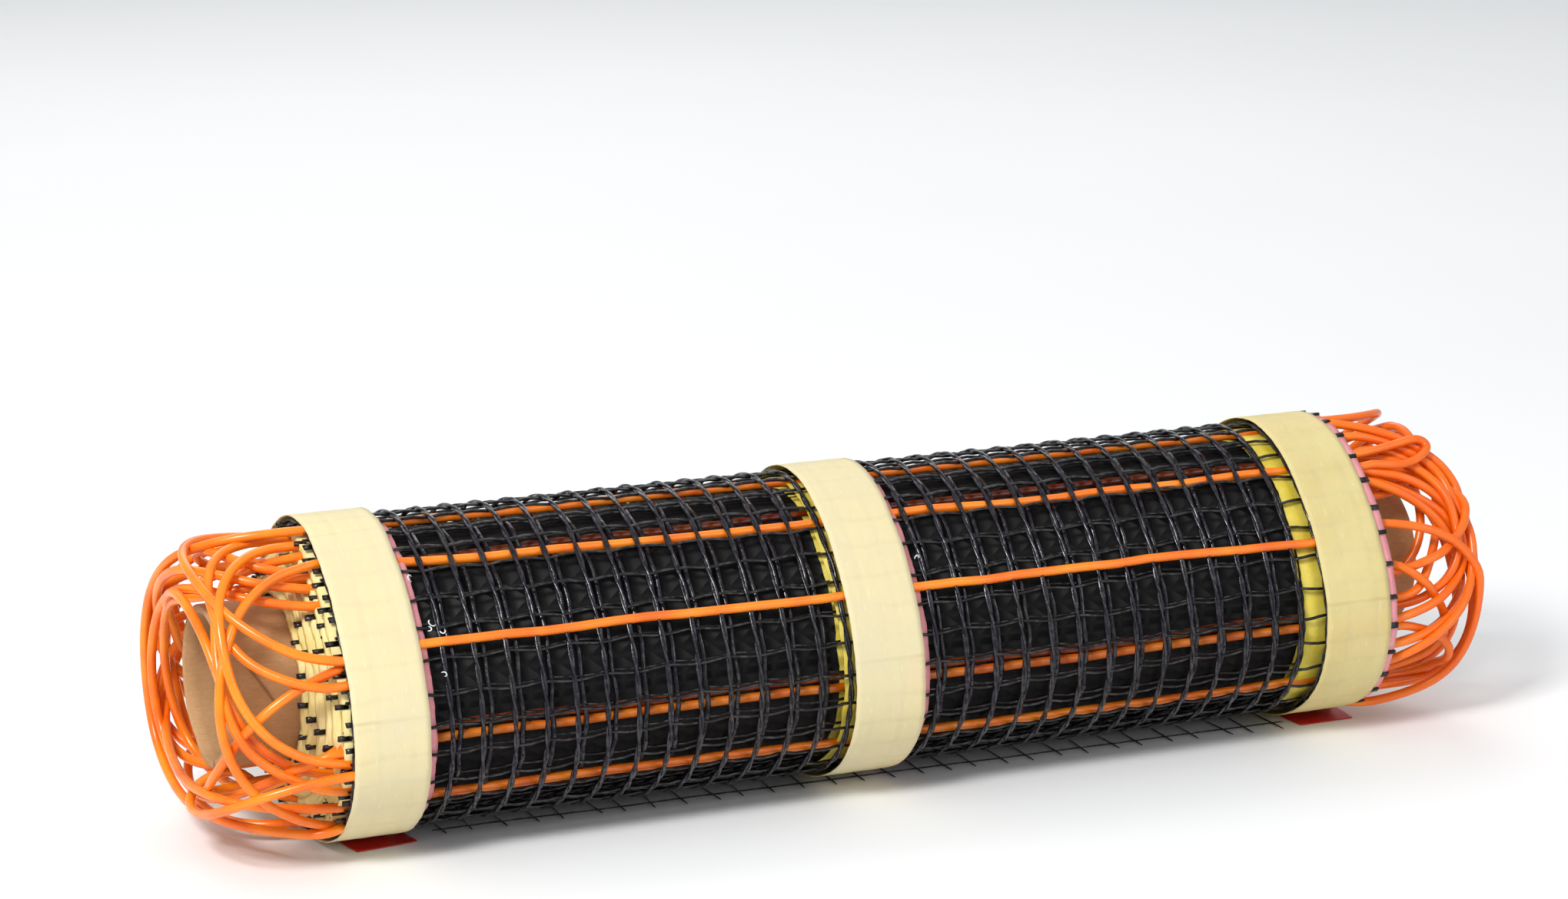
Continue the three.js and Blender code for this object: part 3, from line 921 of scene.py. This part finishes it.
def band_mesh(
    name, left, right, radius, thickness, ragged=0.3 * MM, crease=0.2 * MM, relief=0.15 * MM, around=288,
    across=14, seed=0
):
    """A strip wound once round the roll, with ragged edges, creases and the strands' relief."""
    rings, laid = [], []
    profile = [(t, 0.0) for t in np.linspace(0, 1, across)] + [
        (t, thickness) for t in np.linspace(1, 0, across)
    ]
    for share, depth in profile:
        ring, laid_ring = [], []
        for i in range(around):
            angle = math.tau * i / around
            edge_left = left + ragged_edge(angle, seed, 1.5, 0) * ragged
            edge_right = right + ragged_edge(angle, seed, 8.5, 4) * ragged
            x = edge_left + (edge_right - edge_left) * share
            fold = abs(smooth_noise(x * 90 + seed, math.cos(angle) * 9, math.sin(angle) * 9))
            ripple = smooth_noise(x * 40 + seed, math.cos(angle) * 3.5, math.sin(angle) * 3.5)
            rows = math.cos((x - FIRST_STRAND) / CELL_PITCH * math.tau)
            rungs = math.cos(angle * 32)
            raised = max(rows, 0) ** 3 * 0.7 + max(rungs, 0) ** 4 * 0.5
            r = radius - depth - fold * crease * 0.5 + ripple * crease * 0.4 + raised * relief
            ring.append(wound_point(x, min(r, radius + 0.32 * MM - depth), angle))
            laid_ring.append((x, angle * radius))
        rings.append(ring)
        laid.append(laid_ring)
    rings.reverse()
    laid.reverse()
    return closed_rings(name, rings, laid)


def inner_mesh():
    """The inner turns as one body with stepped ends, wound round the core."""
    surface = WINDING_RADIUS - 1.9 * TURN_THICKNESS
    steps = [WINDING_RADIUS - (turn + 0.1) * TURN_THICKNESS for turn in range(2, 8)]
    inside = CORE_RADIUS + 0.35 * MM
    outline = []
    for turn, top in enumerate(steps):
        if top <= inside + 0.5 * MM:
            break
        end = 2.5 * MM - (turn + 2) * TURN_CREEP
        outline += [(MESH_LEFT + end, top), (MESH_LEFT + end - TURN_CREEP + 0.2 * MM, top - 0.6 * MM)]
    outline.append((outline[-1][0], inside))
    left_side = list(reversed(outline))
    right_side = [(MESH_RIGHT - 3 * MM, surface), (MESH_RIGHT - 2 * MM, surface - 1 * MM)]
    right_side += [(MESH_RIGHT - 2.6 * MM, surface - 6 * MM), (MESH_RIGHT - 2 * MM, inside)]
    middle = [(MESH_LEFT + (MESH_RIGHT - MESH_LEFT) * t, surface) for t in np.linspace(0.02, 0.98, 40)]
    profile = left_side + middle + right_side
    rings, laid = [], []
    for x, radius in profile:
        rings.append([wound_point(x, radius, math.tau * i / 128) for i in range(128)])
        laid.append([(x, math.tau * i / 128 * radius) for i in range(128)])
    rings.reverse()
    laid.reverse()
    return closed_rings("inner_turns", rings, laid)


def tube_mesh(name, paths, radius, sides=6, flat=1.0):
    """Round strips along short paths, with closed ends that taper."""
    points, faces = [], []
    for path in paths:
        base = len(points)
        count = len(path)
        for i, centre in enumerate(path):
            forward = (path[min(i + 1, count - 1)] - path[max(i - 1, 0)]).normalized()
            up = Vector((0, 0, 1)) if abs(forward.z) < 0.9 else Vector((0, 1, 0))
            side = forward.cross(up).normalized()
            top = side.cross(forward).normalized()
            r = radius * (0.6 if i in (0, count - 1) else 1.0)
            for k in range(sides):
                turn = math.tau * k / sides
                points.append(centre + side * (r * math.cos(turn)) + top * (r * flat * math.sin(turn)))
        for i in range(count - 1):
            for k in range(sides):
                n = (k + 1) % sides
                a, b = base + i * sides, base + (i + 1) * sides
                faces.append((a + k, b + k, b + n, a + n))
        faces.append(tuple(base + k for k in range(sides)))
        faces.append(tuple(base + (count - 1) * sides + k for k in reversed(range(sides))))
    return outwards(mesh_of(name, points, faces))


def stub_mesh(name, pitch):
    """The cut ends of the lengthwise strands, past the edge of each turn."""
    chooser = random.Random(31)
    points, faces = [], []
    for side, edge, creep in ((-1, MESH_LEFT, TURN_CREEP), (1, MESH_RIGHT, 0.0)):
        for turn in range(TURNS):
            radius = WINDING_RADIUS - turn * TURN_THICKNESS + 0.15 * MM
            count = round(math.tau * radius / pitch)
            for k in range(count):
                angle = math.tau * (k + chooser.uniform(-0.12, 0.12) + 0.31 * turn) / count
                reach = chooser.uniform(1.2, 2.4) if side < 0 else chooser.uniform(-0.4, 0.0)
                end = edge + side * (creep * turn + reach * MM)
                start = end - side * (4.5 if turn else 3.6) * MM
                half = chooser.uniform(0.7, 1.15) * MM / radius
                low = radius - (0.2 * MM if turn else -0.15 * MM if side > 0 else 1.9 * MM)
                if turn > 1 and chooser.random() < 0.4:
                    continue
                base = len(points)
                for x in (start, end):
                    for a, r in (
                        (-half, low), (half, low), (half * 0.9, low + 1.0 * MM),
                        (-half * 0.9, low + 1.0 * MM)
                    ):
                        points.append(wound_point(x + chooser.uniform(-0.25, 0.25) * MM, r, angle + a))
                for quad in (
                    (0, 1, 2, 3), (4, 7, 6, 5), (0, 4, 5, 1), (1, 5, 6, 2), (2, 6, 7, 3), (3, 7, 4, 0)
                ):
                    faces.append(tuple(base + i for i in quad))
    return outwards(mesh_of(name, points, faces))


def outwards(mesh):
    """Turns every face of a closed mesh outwards."""
    work = bmesh.new()
    work.from_mesh(mesh)
    bmesh.ops.recalc_face_normals(work, faces=work.faces)
    work.to_mesh(mesh)
    work.free()
    return mesh


def free_end_paths():
    """The mesh's last round strand, lying on the floor, and the cut strands that cross it."""
    chooser = random.Random(12)
    edge = []
    for share in np.linspace(0, 1, 90):
        x = (-163 + 342 * share) * MM
        edge.append(Vector((x, (-18 - 6.5 * share) * MM + smooth_noise(x * 25, 3) * 0.8 * MM, 0.35 * MM)))
    paths = [edge]
    for share in np.linspace(0, 1, 30):
        x = (-160 + 334 * share) * MM + chooser.uniform(-1, 1) * MM
        back = (-4 - 6.5 * share) * MM
        reach = 14 * MM + (6 + 2.5 * share) * MM * chooser.uniform(0.75, 1.0)
        lean = chooser.uniform(-1.5, 1.5) * MM
        paths.append([Vector((x + lean * t, back - reach * t, 0.45 * MM)) for t in np.linspace(0, 1, 7)])
    return paths


# White curls of glue: place along the roll in millimetres, angle in degrees, span in millimetres, start of the curl
GLUE_CURLS = (
    (-174.5, 47, 3.2, 1),
    (-171.5, 30, 3.6, 2),
    (-168.5, 26.5, 2.6, 3),
    (-173.0, 27.5, 2.2, 4),
    (-170.5, 12, 2.4, 5),
    (13.5, 33, 2.2, 6),
)


def glue_curl(x, degrees, span, start):
    """Points of one curl of glue, on the outer turn."""
    curl = []
    for i in range(9):
        turn = i / 8 * 3.6 + start
        wide = span * 0.5 * (0.4 + i / 13) * MM
        angle = math.radians(degrees) + wide * math.sin(turn) / WINDING_RADIUS
        height = (0.2 + 0.9 * math.sin(i / 8 * math.pi)) * MM
        curl.append(wound_point(x * MM + wide * math.cos(turn), WINDING_RADIUS + height, angle))
    return curl


def tab_mesh(name, corners, thickness, curl, seed):
    """A thin plastic tab on the floor: rounded corners, a curled edge."""
    columns, rows = 20, 20
    points, faces, laid = [], [], []
    (x0, y0), (x1, y1), (x2, y2), (x3, y3) = corners
    for layer in (1, 0):
        for i in range(columns + 1):
            for j in range(rows + 1):
                u, v = i / columns, j / rows
                cu, cv = 2 * u - 1, 2 * v - 1
                # a square grid drawn into a rounded square
                k = 0.18
                su, sv = cu * math.sqrt(1 - k * cv * cv), cv * math.sqrt(1 - k * cu * cu)
                u2, v2 = (su / math.sqrt(1 - k) * 0.98 + 1) / 2, (sv / math.sqrt(1 - k) * 0.98 + 1) / 2
                u2, v2 = min(1, max(0, u2)), min(1, max(0, v2))
                x = (x0 * (1 - u2) + x1 * u2) * (1 - v2) + (x3 * (1 - u2) + x2 * u2) * v2
                y = (y0 * (1 - u2) + y1 * u2) * (1 - v2) + (y3 * (1 - u2) + y2 * u2) * v2
                lift = curl * (max(0, u2 - 0.6) / 0.4) ** 2 * 0.5 + curl * (max(0, 0.35 - v2) / 0.35) ** 2
                lift += (smooth_noise(u * 3 + seed, v * 3) + 0.5) * 0.12 * MM
                points.append(Vector((x, y, lift + 0.05 * MM + (thickness if layer else 0))))
                laid.append((x, y))
    size = (columns + 1) * (rows + 1)

    def at(layer, i, j):
        return layer * size + i * (rows + 1) + j

    for i in range(columns):
        for j in range(rows):
            faces.append((at(0, i, j), at(0, i + 1, j), at(0, i + 1, j + 1), at(0, i, j + 1)))
            faces.append((at(1, i, j), at(1, i, j + 1), at(1, i + 1, j + 1), at(1, i + 1, j)))
    for i in range(columns):
        faces.append((at(0, i, 0), at(1, i, 0), at(1, i + 1, 0), at(0, i + 1, 0)))
        faces.append((at(0, i + 1, rows), at(1, i + 1, rows), at(1, i, rows), at(0, i, rows)))
    for j in range(rows):
        faces.append((at(0, 0, j + 1), at(1, 0, j + 1), at(1, 0, j), at(0, 0, j)))
        faces.append((at(0, columns, j), at(1, columns, j), at(1, columns, j + 1), at(0, columns, j + 1)))
    return outwards(mesh_of(name, points, faces, laid))


# What a user can change


class RollSizes(bpy.types.PropertyGroup):
    """Sizes of the roll's pieces."""

    core_wall: bpy.props.FloatProperty(
        name="Core wall", description="Wall of the board tube", default=3 * MM, min=0.001, unit="LENGTH"
    )
    cable_width: bpy.props.FloatProperty(
        name="Cable width", description="Diameter of the heating cable", default=3.4 * MM, min=0.001,
        unit="LENGTH"
    )
    cable_depth: bpy.props.FloatProperty(
        name="Cable depth",
        description="How deep the cable's outside lies below the mesh; below zero it stands proud",
        default=-0.6 * MM, unit="LENGTH"
    )
    run_spacing: bpy.props.FloatProperty(
        name="Run spacing", description="Distance between runs of cable along the mat", default=62.6 * MM,
        min=0.01, unit="LENGTH"
    )
    first_run: bpy.props.FloatProperty(
        name="First run", description="Distance of the first run from the mat's free end",
        default=59.5 * MM, unit="LENGTH"
    )
    loop_reach: bpy.props.FloatProperty(
        name="Loop reach", description="How far the loops stand past the mesh", default=43.5 * MM, unit="LENGTH"
    )
    cell_pitch: bpy.props.FloatProperty(
        name="Mesh cell", description="Spacing of the mesh strands", default=CELL_PITCH, min=0.004,
        unit="LENGTH"
    )
    tape_width: bpy.props.FloatProperty(
        name="Tape width", description="Width of the three paper tapes", default=27.2 * MM, min=0.005,
        unit="LENGTH"
    )
    film_width: bpy.props.FloatProperty(
        name="Film width", description="Width of the pink strips beside the tapes", default=3.4 * MM,
        unit="LENGTH"
    )


class RollColours(bpy.types.PropertyGroup):
    """Colours of the roll's finishes."""

    cable: bpy.props.FloatVectorProperty(
        name="Cable", description="Colour of the cable's sheath", default=linear(0xF98A16), size=4,
        subtype="COLOR"
    )
    paper: bpy.props.FloatVectorProperty(
        name="Paper", description="Colour of the left and middle tapes", default=linear(0xD3C8A2), size=4,
        subtype="COLOR"
    )
    right_paper: bpy.props.FloatVectorProperty(
        name="Right paper", description="Colour of the right tape", default=linear(0xD8C98E), size=4,
        subtype="COLOR"
    )
    film: bpy.props.FloatVectorProperty(
        name="Film", description="Colour of the pink strips", default=linear(0xE79A9E), size=4, subtype="COLOR"
    )
    strand: bpy.props.FloatVectorProperty(
        name="Strand", description="Colour of the outer turn's strands", default=linear(0x14111A), size=4,
        subtype="COLOR"
    )


class MATROLL_OT_core(bpy.types.Operator):
    """Make the board core."""

    bl_idname = "matroll.core"
    bl_label = "Core"

    def execute(self, context):
        finished("core_board", core_mesh(context.scene.roll_sizes), kraft_finish(), "kraft_board", "core_tube")
        return {"FINISHED"}


class MATROLL_OT_mesh(bpy.types.Operator):
    """Make the wound mesh: its inner body and its three outer turns of strands."""

    bl_idname = "matroll.mesh"
    bl_label = "Wound mesh"

    def execute(self, context):
        pitch = context.scene.roll_sizes.cell_pitch
        finished("inner_turns", inner_mesh(), inner_finish(), "black_mesh", "mesh_roll")
        gloss = strand_finish("glossy_strand", tuple(context.scene.roll_colours.strand), linear(0x2B2827), 0.12)
        dull = strand_finish("dull_strand", linear(0x080708), linear(0x1F1C1B), 0.3)
        first = FIRST_STRAND - 3 * pitch
        strands = 36
        outer = WINDING_RADIUS - 1.05 * MM
        rounds = {
            "Material": gloss, "Strands": strands, "Plies": 2, "Points": 192, "First": first, "Pitch": pitch
        }
        rounds |= {"Radius": outer, "Spread": 0.5 * MM, "Twist": 0.35 * MM, "Twists": 16.0, "Drift": 0.28 * MM}
        rounds |= {"Width": 1.45 * MM, "Flat": 0.75, "Sides": 5, "Seed": 4}
        lengths = {"Material": dull, "Strands": 32, "Points": 128, "First": first, "Pitch": pitch}
        lengths |= {"Left": MESH_LEFT - 0.6 * MM, "Right": MESH_RIGHT, "Radius": outer - 0.55 * MM}
        lengths |= {"Wave": 0.5 * MM, "Dip": 0.3 * MM, "Drift": 0.4 * MM, "Width": 1.55 * MM}
        lengths |= {"Flat": 0.7, "Sides": 6, "Seed": 9}
        self.add("outer", rounds, lengths)
        for turn in (1, 2):
            depth = turn * TURN_THICKNESS
            shift = (0.37 * turn) % 1 * pitch
            under = {**rounds, "Plies": 1, "Points": 96, "Radius": outer - depth, "First": first + shift}
            under |= {
                "Strands": strands - 1, "Spread": 0.3 * MM, "Width": 2.2 * MM, "Drift": 0.5 * MM,
                "Seed": 20 + turn
            }
            along = {**lengths, "Strands": 32 - 2 * turn, "Points": 72, "Radius": outer - 0.55 * MM - depth}
            along |= {"Left": MESH_LEFT - turn * TURN_CREEP, "Right": MESH_RIGHT - 0.3 * MM}
            along |= {"First": first + shift, "Sides": 5, "Seed": 30 + turn}
            self.add(f"turn_{turn + 1}", under, along)
        return {"FINISHED"}

    def add(self, turn, rounds, lengths):
        """Adds one turn's strands, round the roll and along it."""
        for way, build, inputs in (("round", round_strands, rounds), ("length", lengthwise_strands, lengths)):
            name = f"{turn}_{way}_strands"
            finished(name, grown(name, build, inputs), inputs["Material"], "black_mesh", "mesh_roll")


class MATROLL_OT_cable(bpy.types.Operator):
    """Make the heating cable: its runs across the mat and the loops past both ends."""

    bl_idname = "matroll.cable"
    bl_label = "Heating cable"

    def execute(self, context):
        size = context.scene.roll_sizes
        points, edges, painted_shade_depths = [], [], []
        for number, path in enumerate(cable_paths(size)):
            edges += [(len(points) + i, len(points) + i + 1) for i in range(len(path) - 1)]
            points += [tuple(point) for point in path]
            # each point carries its run's share of painted shade as the depth attribute; the loops get none
            painted_shade_depths += [RUN_PAINTED_SHADE.get(number, 0.0)] * len(path)
        guide_mesh = bpy.data.meshes.new("cable_guide")
        guide_mesh.from_pydata(points, edges, [])
        guide_mesh.attributes.new("depth", "FLOAT", "POINT").data.foreach_set("value", painted_shade_depths)
        guide = bpy.data.objects.new("cable_guide", guide_mesh)
        context.scene.collection.objects.link(guide)
        sheath = cable_finish(tuple(context.scene.roll_colours.cable))
        inputs = {"Material": sheath, "Guide": guide, "Width": size.cable_width, "Flat": 1.0, "Sides": 12}
        mesh = grown("cable", followed_path, inputs)
        bpy.data.objects.remove(guide)
        finished("cable", mesh, sheath, "orange_cable", "heating_cable")
        return {"FINISHED"}


class MATROLL_OT_tapes(bpy.types.Operator):
    """Make the paper tapes, the pink strips beside them and the strips of the turns below."""

    bl_idname = "matroll.tapes"
    bl_label = "Tapes"

    def execute(self, context):
        size, colour = context.scene.roll_sizes, context.scene.roll_colours
        cream = paper_finish("cream_paper", tuple(colour.paper), linear(0xE0CF9C), linear(0xE7B795))
        yellow = paper_finish("yellow_paper", tuple(colour.right_paper), linear(0xCDB97A), linear(0xE0B488))
        pink = film_finish("pink_film", tuple(colour.film), linear(0xD9868C), 0.35)
        # painted shade: the tapes of the inner turns are the same cream paper as the outer tapes, coloured strong
        # yellow (inner_tape) and pale yellow (edge_tape) for how they look in shadow under the mesh and at the roll's
        # ends
        inner_shaded_tape = film_finish("inner_tape", linear(0xDFCB55), linear(0xC9B01E), 0.5)
        pale = film_finish("edge_tape", linear(0xEBDD9C), linear(0xD9C878), 0.6)
        lefts = {"left": -204.8 * MM, "middle": -18.4 * MM, "right": 174.4 * MM}
        for number, (side, left) in enumerate(lefts.items()):
            right = left + size.tape_width
            paper = yellow if side == "right" else cream
            tape = band_mesh(f"{side}_tape", left, right, TAPE_RADIUS, 0.35 * MM, seed=number * 11)
            finished(f"{side}_tape", tape, paper, "paper_tape", f"tape_{side}")
            over = 0.45 * MM if side == "right" else -2.35 * MM
            film_left, film_right = right - 6 * MM, right + size.film_width
            film = band_mesh(
                f"{side}_film", film_left, film_right, WINDING_RADIUS + over, 0.3 * MM, ragged=0.5 * MM,
                across=6, seed=number * 7 + 3
            )
            finished(f"{side}_film", film, pink, "pink_film", f"tape_film_{side}")
            for turn in range(1, TURNS if side == "left" else 3):
                shift = -TURN_CREEP * turn - 0.6 * MM if side == "left" else {"middle": -2.4, "right": -6.5}[side] * MM
                radius = WINDING_RADIUS - turn * TURN_THICKNESS + 0.6 * MM
                name = f"{side}_tape_{turn + 1}"
                below = band_mesh(
                    name, left + shift, right + shift, radius, 0.3 * MM, around=160, across=6,
                    ragged=0.8 * MM, seed=number * 5 + turn
                )
                finished(name, below, pale if side == "left" else inner_shaded_tape, "paper_tape")
        # the rings at the ends of the inner turns wear the pale yellow that stands in for the cream tape in shadow
        for side, towards in (("left", -1), ("right", 1)):
            for turn in range(1, TURNS):
                top = WINDING_RADIUS - turn * TURN_THICKNESS + 0.2 * MM
                end = mesh_end(towards, turn) - (0 if side == "left" else 1.2 * MM + 0.5 * MM * (turn % 2))
                low, high = sorted((end, end - towards * 9 * MM))
                name = f"{side}_edge_{turn + 1}"
                ring = band_mesh(
                    name, low, high, top, 3.5 * MM, around=160, across=4, ragged=0.7 * MM, crease=0.3 * MM,
                    seed=turn * 3 + 40
                )
                finished(name, ring, pale, "paper_tape")
        black = strand_finish("cut_strand", linear(0x060506), linear(0x1A1716), 0.35)
        finished("cut_ends", stub_mesh("cut_ends", size.cell_pitch), black, "black_mesh")
        return {"FINISHED"}


class MATROLL_OT_floor_pieces(bpy.types.Operator):
    """Make the red tabs, the free end of the mesh and the curls of glue."""

    bl_idname = "matroll.floor_pieces"
    bl_label = "Tabs and free end"

    def execute(self, context):
        red = tab_finish()
        left = [(-197.5, -14.6), (-173.5, -14.6), (-171.4, -27.2), (-194.5, -29.8)]
        right = [(181.6, -14.6), (207.6, -15.2), (206.4, -30.6), (183.2, -30.8)]
        for name, corners, node, seed in (
            ("left_tab", left, "pull_tab_left", 2), ("right_tab", right, "pull_tab_right", 5)
        ):
            mesh = tab_mesh(name, [(x * MM, y * MM) for x, y in corners], 0.35 * MM, 0.15 * MM, seed)
            finished(name, mesh, red, "red_tab", node)
        dull = strand_finish("free_strand", linear(0x121012), linear(0x3A3634), 0.4)
        free = tube_mesh("free_end", free_end_paths(), 0.32 * MM, 6, 0.8)
        finished("free_end", free, dull, "black_mesh", "mesh_free_end")
        curls = tube_mesh("glue_curls", [glue_curl(*curl) for curl in GLUE_CURLS], 0.28 * MM, 6, 0.7)
        finished("glue_curls", curls, glue_finish(), "paper_tape")
        return {"FINISHED"}


class MATROLL_OT_stage(bpy.types.Operator):
    """Make the camera, the pale floor and the soft lights."""

    bl_idname = "matroll.stage"
    bl_label = "Stage"

    def execute(self, context):
        scene = context.scene
        lens = bpy.data.cameras.new("camera")
        lens.sensor_width = SENSOR_WIDTH
        lens.lens = FOCAL_PIXELS / FRAME_PIXELS * SENSOR_WIDTH
        lens.clip_end = 20
        camera = bpy.data.objects.new("camera", lens)
        scene.collection.objects.link(camera)
        camera.location = CAMERA_PLACE
        camera.rotation_euler = (math.radians(CAMERA_TILT), 0, math.radians(CAMERA_TURN))
        scene.camera = camera

        floor_mesh = mesh_of("floor", [(-6, -6, 0), (6, -6, 0), (6, 6, 0), (-6, 6, 0)], [(0, 1, 2, 3)])
        floor = bpy.data.objects.new("floor", floor_mesh)
        scene.collection.objects.link(floor)
        pale = Finish("pale_floor", Roughness=0.8)
        cloud = pale.noise(pale.place(), 3.0)
        floor_mesh.materials.append(pale.wear(Base_Color=pale.mix(cloud, linear(0xF4F4F3), linear(0xEFEFEE))))

        world = bpy.data.worlds.new("studio")
        world.use_nodes = True
        world.node_tree.nodes["Background"].inputs["Color"].default_value = (0.93, 0.96, 1.0, 1.0)
        world.node_tree.nodes["Background"].inputs["Strength"].default_value = 0.62
        scene.world = world
        for name, place, width, power in (
            ("key", (-1.2, -0.9, 1.4), 0.5, 31.0),
            ("fill", (0.9, -1.8, 1.1), 0.9, 6.0),
            ("back", (0.3, 1.6, 1.6), 1.6, 14.0),
        ):
            data = bpy.data.lights.new(name, "AREA")
            data.size = width
            data.energy = power
            light = bpy.data.objects.new(name, data)
            light.location = place
            light.rotation_euler = (Vector((0, 0, 0.06)) - Vector(place)).to_track_quat("-Z", "Y").to_euler()
            scene.collection.objects.link(light)
        scene.view_settings.view_transform = "Standard"
        return {"FINISHED"}


class MATROLL_PT_panel(bpy.types.Panel):
    """Lists the sizes, the colours and the steps."""

    bl_idname = "MATROLL_PT_panel"
    bl_label = "Heating mat roll"
    bl_space_type = "VIEW_3D"
    bl_region_type = "UI"
    bl_category = "Heating Mat"

    def draw(self, context):
        layout = self.layout
        for group in (context.scene.roll_sizes, context.scene.roll_colours):
            for name in group.__annotations__:
                layout.prop(group, name)
        for operator in OPERATORS:
            layout.operator(operator.bl_idname)


OPERATORS = (
    MATROLL_OT_stage,
    MATROLL_OT_core,
    MATROLL_OT_mesh,
    MATROLL_OT_cable,
    MATROLL_OT_tapes,
    MATROLL_OT_floor_pieces,
)
CLASSES = (RollSizes, RollColours, *OPERATORS, MATROLL_PT_panel)


def register():
    for made in CLASSES:
        bpy.utils.register_class(made)
    bpy.types.Scene.roll_sizes = bpy.props.PointerProperty(type=RollSizes)
    bpy.types.Scene.roll_colours = bpy.props.PointerProperty(type=RollColours)


def unregister():
    del bpy.types.Scene.roll_sizes
    del bpy.types.Scene.roll_colours
    for made in reversed(CLASSES):
        bpy.utils.unregister_class(made)


def main():
    register()
    bpy.ops.matroll.stage()
    bpy.ops.matroll.core()
    bpy.ops.matroll.mesh()
    bpy.ops.matroll.cable()
    bpy.ops.matroll.tapes()
    bpy.ops.matroll.floor_pieces()


if __name__ == "__main__":
    main()
